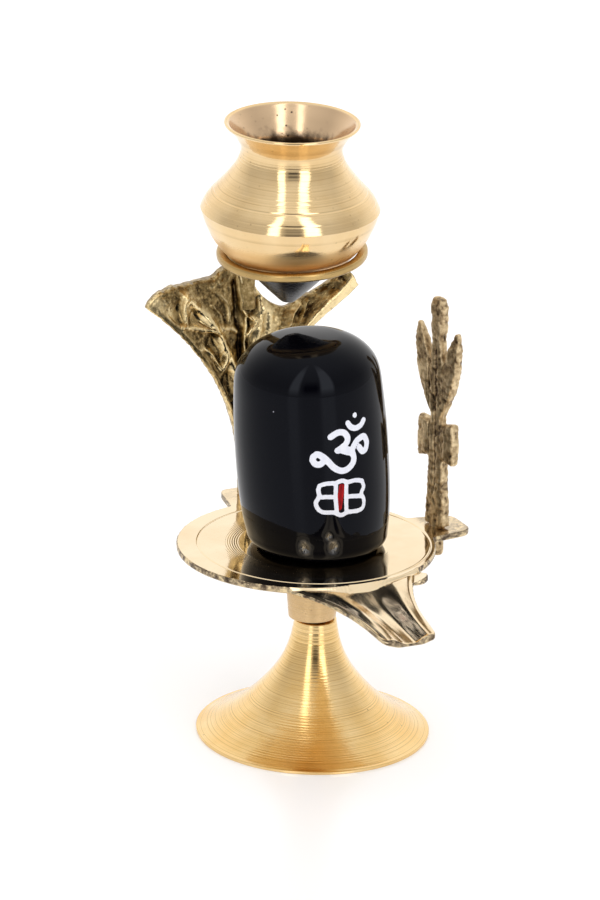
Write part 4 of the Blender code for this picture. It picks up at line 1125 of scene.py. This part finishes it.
def ring_place():
    crest = hood_place() @ hood_crest()
    foot = foot_place().translation
    centre = Vector((foot.x + RING_SIDE, crest.y - RING_REACH, crest.z + RING_RISE))
    return crest, centre, lean_towards(RING_TILT, RING_TILT_TOWARDS)


def build_arm():
    """The flat arm from the crest down and forward to the ring's back."""
    crest, centre, tilt = ring_place()
    start = centre + tilt @ Vector((crest.x - centre.x, RING_RADIUS - RING_BAND * 0.45, 0.0))
    on_crest = crest + Vector((0.0, 0.0, CONTACT_GAP + ARM_THICKNESS / 2))
    path = [on_crest + Vector((0.0, CREST_DEPTH * 0.4, 0.0)),
            on_crest - Vector((0.0, CREST_DEPTH * 0.45, 0.0)),
            on_crest.lerp(start, 0.72) - Vector((0.0, 0.0, ARM_SAG)), start]
    line = even_line(smooth_line([tuple(point) for point in path], 10), 0.4 * MM)
    across = np.array((1.0, 0.0, 0.0))
    slope = np.gradient(line, axis=0)
    slope /= np.linalg.norm(slope, axis=1, keepdims=True)
    up = np.cross(across, slope)
    up *= np.sign(up[:, 2:])
    section = rounded_rectangle(ARM_WIDTH / 2, ARM_THICKNESS / 2, ARM_THICKNESS / 4)[None]
    grid = line[:, None, :] + section[..., :1] * across + section[..., 1:] * up[:, None, :]
    return skin("ring_arm", grid, sharp=50.0)


# Pot

def pot_ball(depth):
    """Radius of the pot's ball-shaped bowl at a depth between its belly and its cone."""
    centre = POT_BELLY_DEPTH - math.sqrt(POT_BALL_RADIUS ** 2 - POT_BELLY_RADIUS ** 2)
    return np.sqrt(POT_BALL_RADIUS ** 2 - (depth - centre) ** 2)


def pot_outer():
    """The pot's outside as (radius, depth below the rim), from the lip down to the tip."""
    lip, edge = POT_LIP_RADIUS, POT_LIP_EDGE
    rim = [(lip - POT_WALL * 0.8, 0.15 * MM), (lip - 0.35 * MM, 0.0), (lip - 0.05 * MM, 0.12 * MM),
           (lip, edge * 0.25), (lip - edge * 0.10, edge * 0.5)]
    low_neck = (POT_NECK_RADIUS + 0.9 * MM, POT_NECK_DEPTH + 3.6 * MM)
    upper = [(lip - edge * 0.4, edge * 0.72), (POT_NECK_RADIUS + 1.5 * MM, POT_NECK_DEPTH * 0.5),
             (POT_NECK_RADIUS, POT_NECK_DEPTH), low_neck,
             (blend(low_neck[0], POT_SHOULDER_RADIUS, 0.46), blend(low_neck[1], POT_SHOULDER_DEPTH, 0.52)),
             (POT_SHOULDER_RADIUS, POT_SHOULDER_DEPTH)]
    upper = lathe_marks(even_line(smooth_line(upper, 14), PROFILE_STEP), 0.75 * MM, 0.007 * MM, 12)
    for depth, size in POT_GROOVES:
        upper[:, 0] -= size * ridge(upper[:, 1], depth, 0.12 * MM)
    band = [(POT_SHOULDER_RADIUS + 0.30 * MM, POT_SHOULDER_DEPTH + 0.30 * MM),
            (blend(POT_SHOULDER_RADIUS, POT_BELLY_RADIUS, 0.55),
             blend(POT_SHOULDER_DEPTH, POT_BELLY_DEPTH, 0.42)),
            (POT_BELLY_RADIUS - 0.35 * MM, POT_BELLY_DEPTH - 0.75 * MM),
            (POT_BELLY_RADIUS, POT_BELLY_DEPTH)]
    band = even_line(smooth_line(band, 10), PROFILE_STEP)
    band[:, 0] -= 0.06 * MM * ridge(band[:, 1], 19.6 * MM, 0.16 * MM)
    depths = np.linspace(POT_BELLY_DEPTH + 0.25 * MM, POT_BALL_END_DEPTH, 90)
    bowl = np.stack([pot_ball(depths) - 0.05 * MM, depths], axis=1)
    cone = smooth_line([(pot_ball(POT_BALL_END_DEPTH) - 0.8 * MM, POT_BALL_END_DEPTH + 0.65 * MM),
                        (blend(POT_BALL_RADIUS / 2, POT_TIP_RADIUS, 0.55),
                         blend(POT_BALL_END_DEPTH, POT_HEIGHT, 0.52)),
                        (POT_TIP_RADIUS, POT_HEIGHT - 0.6 * MM), (POT_TIP_RADIUS * 0.7, POT_HEIGHT)], 10)
    return np.concatenate([rim, upper, band, bowl, cone])


def pot_inner():
    """The inside as (radius, depth), from the axis at the bottom up to the lip's inner edge."""
    wall = POT_WALL * 1.35
    low = 31.0 * MM
    floor_depth = blend(POT_BALL_END_DEPTH, POT_HEIGHT, 0.3)
    floor_radius = blend(pot_ball(POT_BALL_END_DEPTH), POT_TIP_RADIUS, 0.3) - wall
    up = [(floor_radius, floor_depth), (pot_ball(POT_BALL_END_DEPTH) - wall, POT_BALL_END_DEPTH - 0.3 * MM),
          (pot_ball(low) - wall, low), (POT_BELLY_RADIUS - wall - 0.6 * MM, POT_BELLY_DEPTH + 2.0 * MM),
          (POT_BELLY_RADIUS - wall, POT_BELLY_DEPTH), (POT_SHOULDER_RADIUS - wall, POT_SHOULDER_DEPTH),
          (POT_NECK_RADIUS - wall + 0.9 * MM, POT_NECK_DEPTH + 3.6 * MM),
          (POT_NECK_RADIUS - wall, POT_NECK_DEPTH + 0.8 * MM),
          (POT_NECK_RADIUS + 0.5 * MM, POT_NECK_DEPTH * 0.55),
          (POT_LIP_RADIUS - POT_WALL - 0.3 * MM, 0.75 * MM), (POT_LIP_RADIUS - POT_WALL, 0.35 * MM)]
    return np.concatenate([[(0.0, floor_depth)], even_line(smooth_line(up, 10), 0.35 * MM)])


def build_pot():
    """The pot, with where it is inside, dirty, hazy below, and where its tip carries a painted reflection
    of the black stone.
    """
    inside = pot_inner()
    profile = np.concatenate([inside, pot_outer(), [(0.0, POT_HEIGHT)]])
    profile[:, 1] = POT_HEIGHT - profile[:, 1]
    pot = turned("kalash_turned", profile, pot_place(), sharp=30.0)
    points = placed(pot_place().inverted(), vertex_table(pot))
    radius = np.hypot(points[:, 0], points[:, 1])
    depth = POT_HEIGHT - points[:, 2]
    wall = np.interp(depth, inside[::-1, 1], inside[::-1, 0])
    within = (np.abs(radius - wall) < 0.3 * MM) & (depth > 0.3 * MM)
    ragged = depth + 1.2 * MM * rough_noise(points, 1.5 * MM, 81)
    # Below the ball's end the cone gets the painted reflection of the black stone.
    end = POT_BALL_END_DEPTH
    give_values(pot, inside=within, dirt=within * smooth_step(5.0 * MM, 8.0 * MM, ragged),
                haze=(1 - within) * smooth_step(25.5 * MM, 29.0 * MM, depth),
                soot=(1 - within) * smooth_step(end - 1.5 * MM, end + 1.0 * MM, depth))
    return pot


# Trident

def build_trident():
    """The trident's solid, remeshed finely, with the sand's grain and the casting's grooves."""
    piece = bpy.data.objects.new("trishul_cast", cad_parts["trishul"].data.copy())
    bpy.context.scene.collection.objects.link(piece)
    remesh = piece.modifiers.new("remesh", "REMESH")
    remesh.mode = "VOXEL"
    remesh.voxel_size = TRIDENT_VOXEL
    soften = piece.modifiers.new("soften", "SMOOTH")
    soften.factor = 0.5
    soften.iterations = 16
    bpy.context.view_layer.update()
    mesh = bpy.data.meshes.new_from_object(piece.evaluated_get(bpy.context.evaluated_depsgraph_get()))
    piece.modifiers.clear()
    piece.data = mesh
    points = vertex_table(piece)
    normals = np.zeros(len(points) * 3)
    mesh.vertex_normals.foreach_get("vector", normals)
    normals = normals.reshape(-1, 3)
    low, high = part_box("trishul")
    upright = (dish_place() @ Matrix.Rotation(TRIDENT_TURN, 4, "Z")).inverted()
    foot = placed(upright, np.array(((low + high) / 2,)))[0]
    local = placed(upright, points)
    across = local[:, 1] - foot[1]
    up = local[:, 2] - BOSS_HEIGHT
    grit = rough_noise(points, 0.75 * MM, 91, 2)
    lumps = rough_noise(points, 2.2 * MM, 95)
    face = np.abs(placed(upright, points + normals) - local)[:, 0] > 0.6
    first = ridge(across - TRIDENT_GROOVE - 0.02 * (up - STEM_HEIGHT), 0.0, 0.38 * MM)
    first = first * smooth_step(6 * MM, 13 * MM, up) * (1 - smooth_step(44 * MM, 49 * MM, up))
    second = ridge(across - 1.6 * MM - 0.05 * (up - PRONG_BASE_HEIGHT), 0.0, 0.32 * MM)
    second = second * smooth_step(17 * MM, 20 * MM, up) * (1 - smooth_step(46 * MM, 50 * MM, up))
    grooves = np.where(face, first * 0.75 + second * 0.45, 0.0)
    above = smooth_step(-0.2 * MM, 1.0 * MM, up)
    sink = (0.10 + 0.16 * grit + 0.20 * lumps) * above + grooves
    points = points - normals * (np.maximum(sink, 0.0) * MM)[:, None]
    mesh.vertices.foreach_set("co", points.reshape(-1))
    mesh.shade_smooth()
    give_values(piece, worn=0.52 - 0.30 * grit - 0.25 * lumps - 0.7 * grooves, sleek=0.0)
    return piece


# Studio

def build_floor():
    mesh = bpy.data.meshes.new("floor")
    shape = bmesh.new()
    bmesh.ops.create_circle(shape, cap_ends=True, radius=FLOOR_RADIUS, segments=96)
    shape.to_mesh(mesh)
    shape.free()
    floor = bpy.data.objects.new("floor", mesh)
    floor.location.z = -FLOOR_DROP
    bpy.context.scene.collection.objects.link(floor)
    pale = Surface("pale_floor")
    pale.feed(pale.shader, "Emission Color", (1.0, 1.0, 1.0, 1.0))
    pale.feed(pale.shader, "Emission Strength", FLOOR_GLOW)
    tone = pale.span(pale.grain(1.5, 2.0), 0.3, 0.7)
    mesh.materials.append(pale.finish(pale.mix(tone, (0.90, 0.90, 0.91), (0.88, 0.88, 0.90)), 0.22, 0.0))


def view_back(azimuth, elevation):
    return Vector((math.sin(azimuth) * math.cos(elevation), -math.cos(azimuth) * math.cos(elevation),
                   math.sin(elevation)))


def soft_band(nodes, value, middle, half, softness):
    """1 where a value lies within half of the middle, with soft edges."""
    away = nodes.math("ABSOLUTE", nodes.minus(value, middle))
    return nodes.span(away, half + softness, half - softness)


def build_light():
    """A pale room: two tall lit panels left and right of the camera, with a dark gap between them."""
    world = bpy.data.worlds.new("studio")
    bpy.context.scene.world = world
    world.use_nodes = True
    nodes = Nodes(world.node_tree)
    direction = nodes.add("ShaderNodeTexCoord", output="Generated")
    axes = (Vector((math.cos(CAMERA_AZIMUTH), math.sin(CAMERA_AZIMUTH), 0.0)),
            view_back(CAMERA_AZIMUTH, 0.0), Vector((0.0, 0.0, 1.0)))
    aside, toward, up = (nodes.add("ShaderNodeVectorMath", ((0, direction), (1, tuple(axis))), "Value",
                                   operation="DOT_PRODUCT") for axis in axes)
    heading = nodes.times(nodes.math("ARCTAN2", aside, toward), 180 / math.pi)
    rise = nodes.times(nodes.math("ARCSINE", up), 180 / math.pi)
    sky = nodes.ramp(nodes.span(rise, 0.0, 90.0), SKY)
    behind = nodes.span(nodes.math("ABSOLUTE", heading), 95.0, 140.0)
    sky = nodes.mix(nodes.times(behind, nodes.span(rise, 70.0, 40.0)), sky, SKY_BEHIND)
    gap = nodes.times(soft_band(nodes, heading, *DARK_GAP, 4.0), nodes.span(rise, 42.0, 22.0),
                      nodes.span(rise, -1.0, 14.0))
    sky = nodes.mix(gap, sky, GAP_COLOUR)
    fade = nodes.times(nodes.span(rise, 84.0, 62.0), nodes.span(rise, -1.0, 16.0))
    for middle, half, power in PANELS:
        share = nodes.times(soft_band(nodes, heading, middle, half, 2.2), fade)
        sky = nodes.mix(share, sky, (power, power, power))
    seen = nodes.add("ShaderNodeLightPath", output="Is Camera Ray")
    nodes.feed(world.node_tree.nodes["Background"], "Color", nodes.mix(seen, sky, (1.0, 1.0, 1.0)))


def build_camera():
    data = bpy.data.cameras.new("camera")
    data.sensor_fit = "VERTICAL"
    data.sensor_height = SENSOR_HEIGHT
    data.lens = CAMERA_LENS
    data.clip_start = 0.05
    data.clip_end = 20.0
    camera = bpy.data.objects.new("camera", data)
    back = view_back(CAMERA_AZIMUTH, CAMERA_ELEVATION)
    right = Vector((math.cos(CAMERA_AZIMUTH), math.sin(CAMERA_AZIMUTH), 0.0))
    up = back.cross(right)
    turned_right = right * math.cos(CAMERA_ROLL) + up * math.sin(CAMERA_ROLL)
    turned_up = up * math.cos(CAMERA_ROLL) - right * math.sin(CAMERA_ROLL)
    aim = foot_place().translation + CAMERA_AIM
    place = Matrix((turned_right, turned_up, back)).transposed().to_4x4()
    place.translation = aim + back * CAMERA_DISTANCE
    camera.matrix_world = place
    bpy.context.scene.collection.objects.link(camera)
    bpy.context.scene.camera = camera


def main():
    build_camera()
    build_floor()
    build_light()
    foot_brass = polished_brass("turned_brass", (0.90, 0.66, 0.33), (0.84, 0.56, 0.22), 0.15, 0.6, 1.0)
    ring_brass = polished_brass("ring_brass", (0.54, 0.37, 0.15), (0.42, 0.28, 0.11), 0.30)
    boss_brass = polished_brass("boss_brass", (0.68, 0.48, 0.26), (0.58, 0.40, 0.20), 0.28, 0.9, 0.4)
    hood_brass = cast_brass("cast_brass", (0.98, 0.79, 0.44), (0.38, 0.265, 0.11),
                            (0.028, 0.015, 0.007), 0.36)
    rough_brass = cast_brass("rough_brass", (0.80, 0.64, 0.40), (0.44, 0.32, 0.18),
                             (0.06, 0.038, 0.022), 0.5)
    for piece, node, slot, material in (
            (build_foot(), "foot", "turned_brass", foot_brass),
            (build_dish(), "yoni_plate", "dish_brass", dish_brass()),
            (build_boss(), "yoni_plate", "dish_brass", boss_brass),
            (build_lingam(), "lingam", "black_stone", black_stone()),
            (build_hood(), "naga_hood", "cast_brass", hood_brass),
            (build_crest(), "naga_hood", "cast_brass", hood_brass),
            (build_ring(), "pot_ring", "ring_brass", ring_brass),
            (build_arm(), "pot_ring", "ring_brass", ring_brass),
            (build_pot(), "kalash", "pot_brass", pot_brass()),
            (build_trident(), "trishul", "rough_brass", rough_brass)):
        dress(piece, node, material)
    bpy.context.scene.view_settings.view_transform = "Standard"


main()
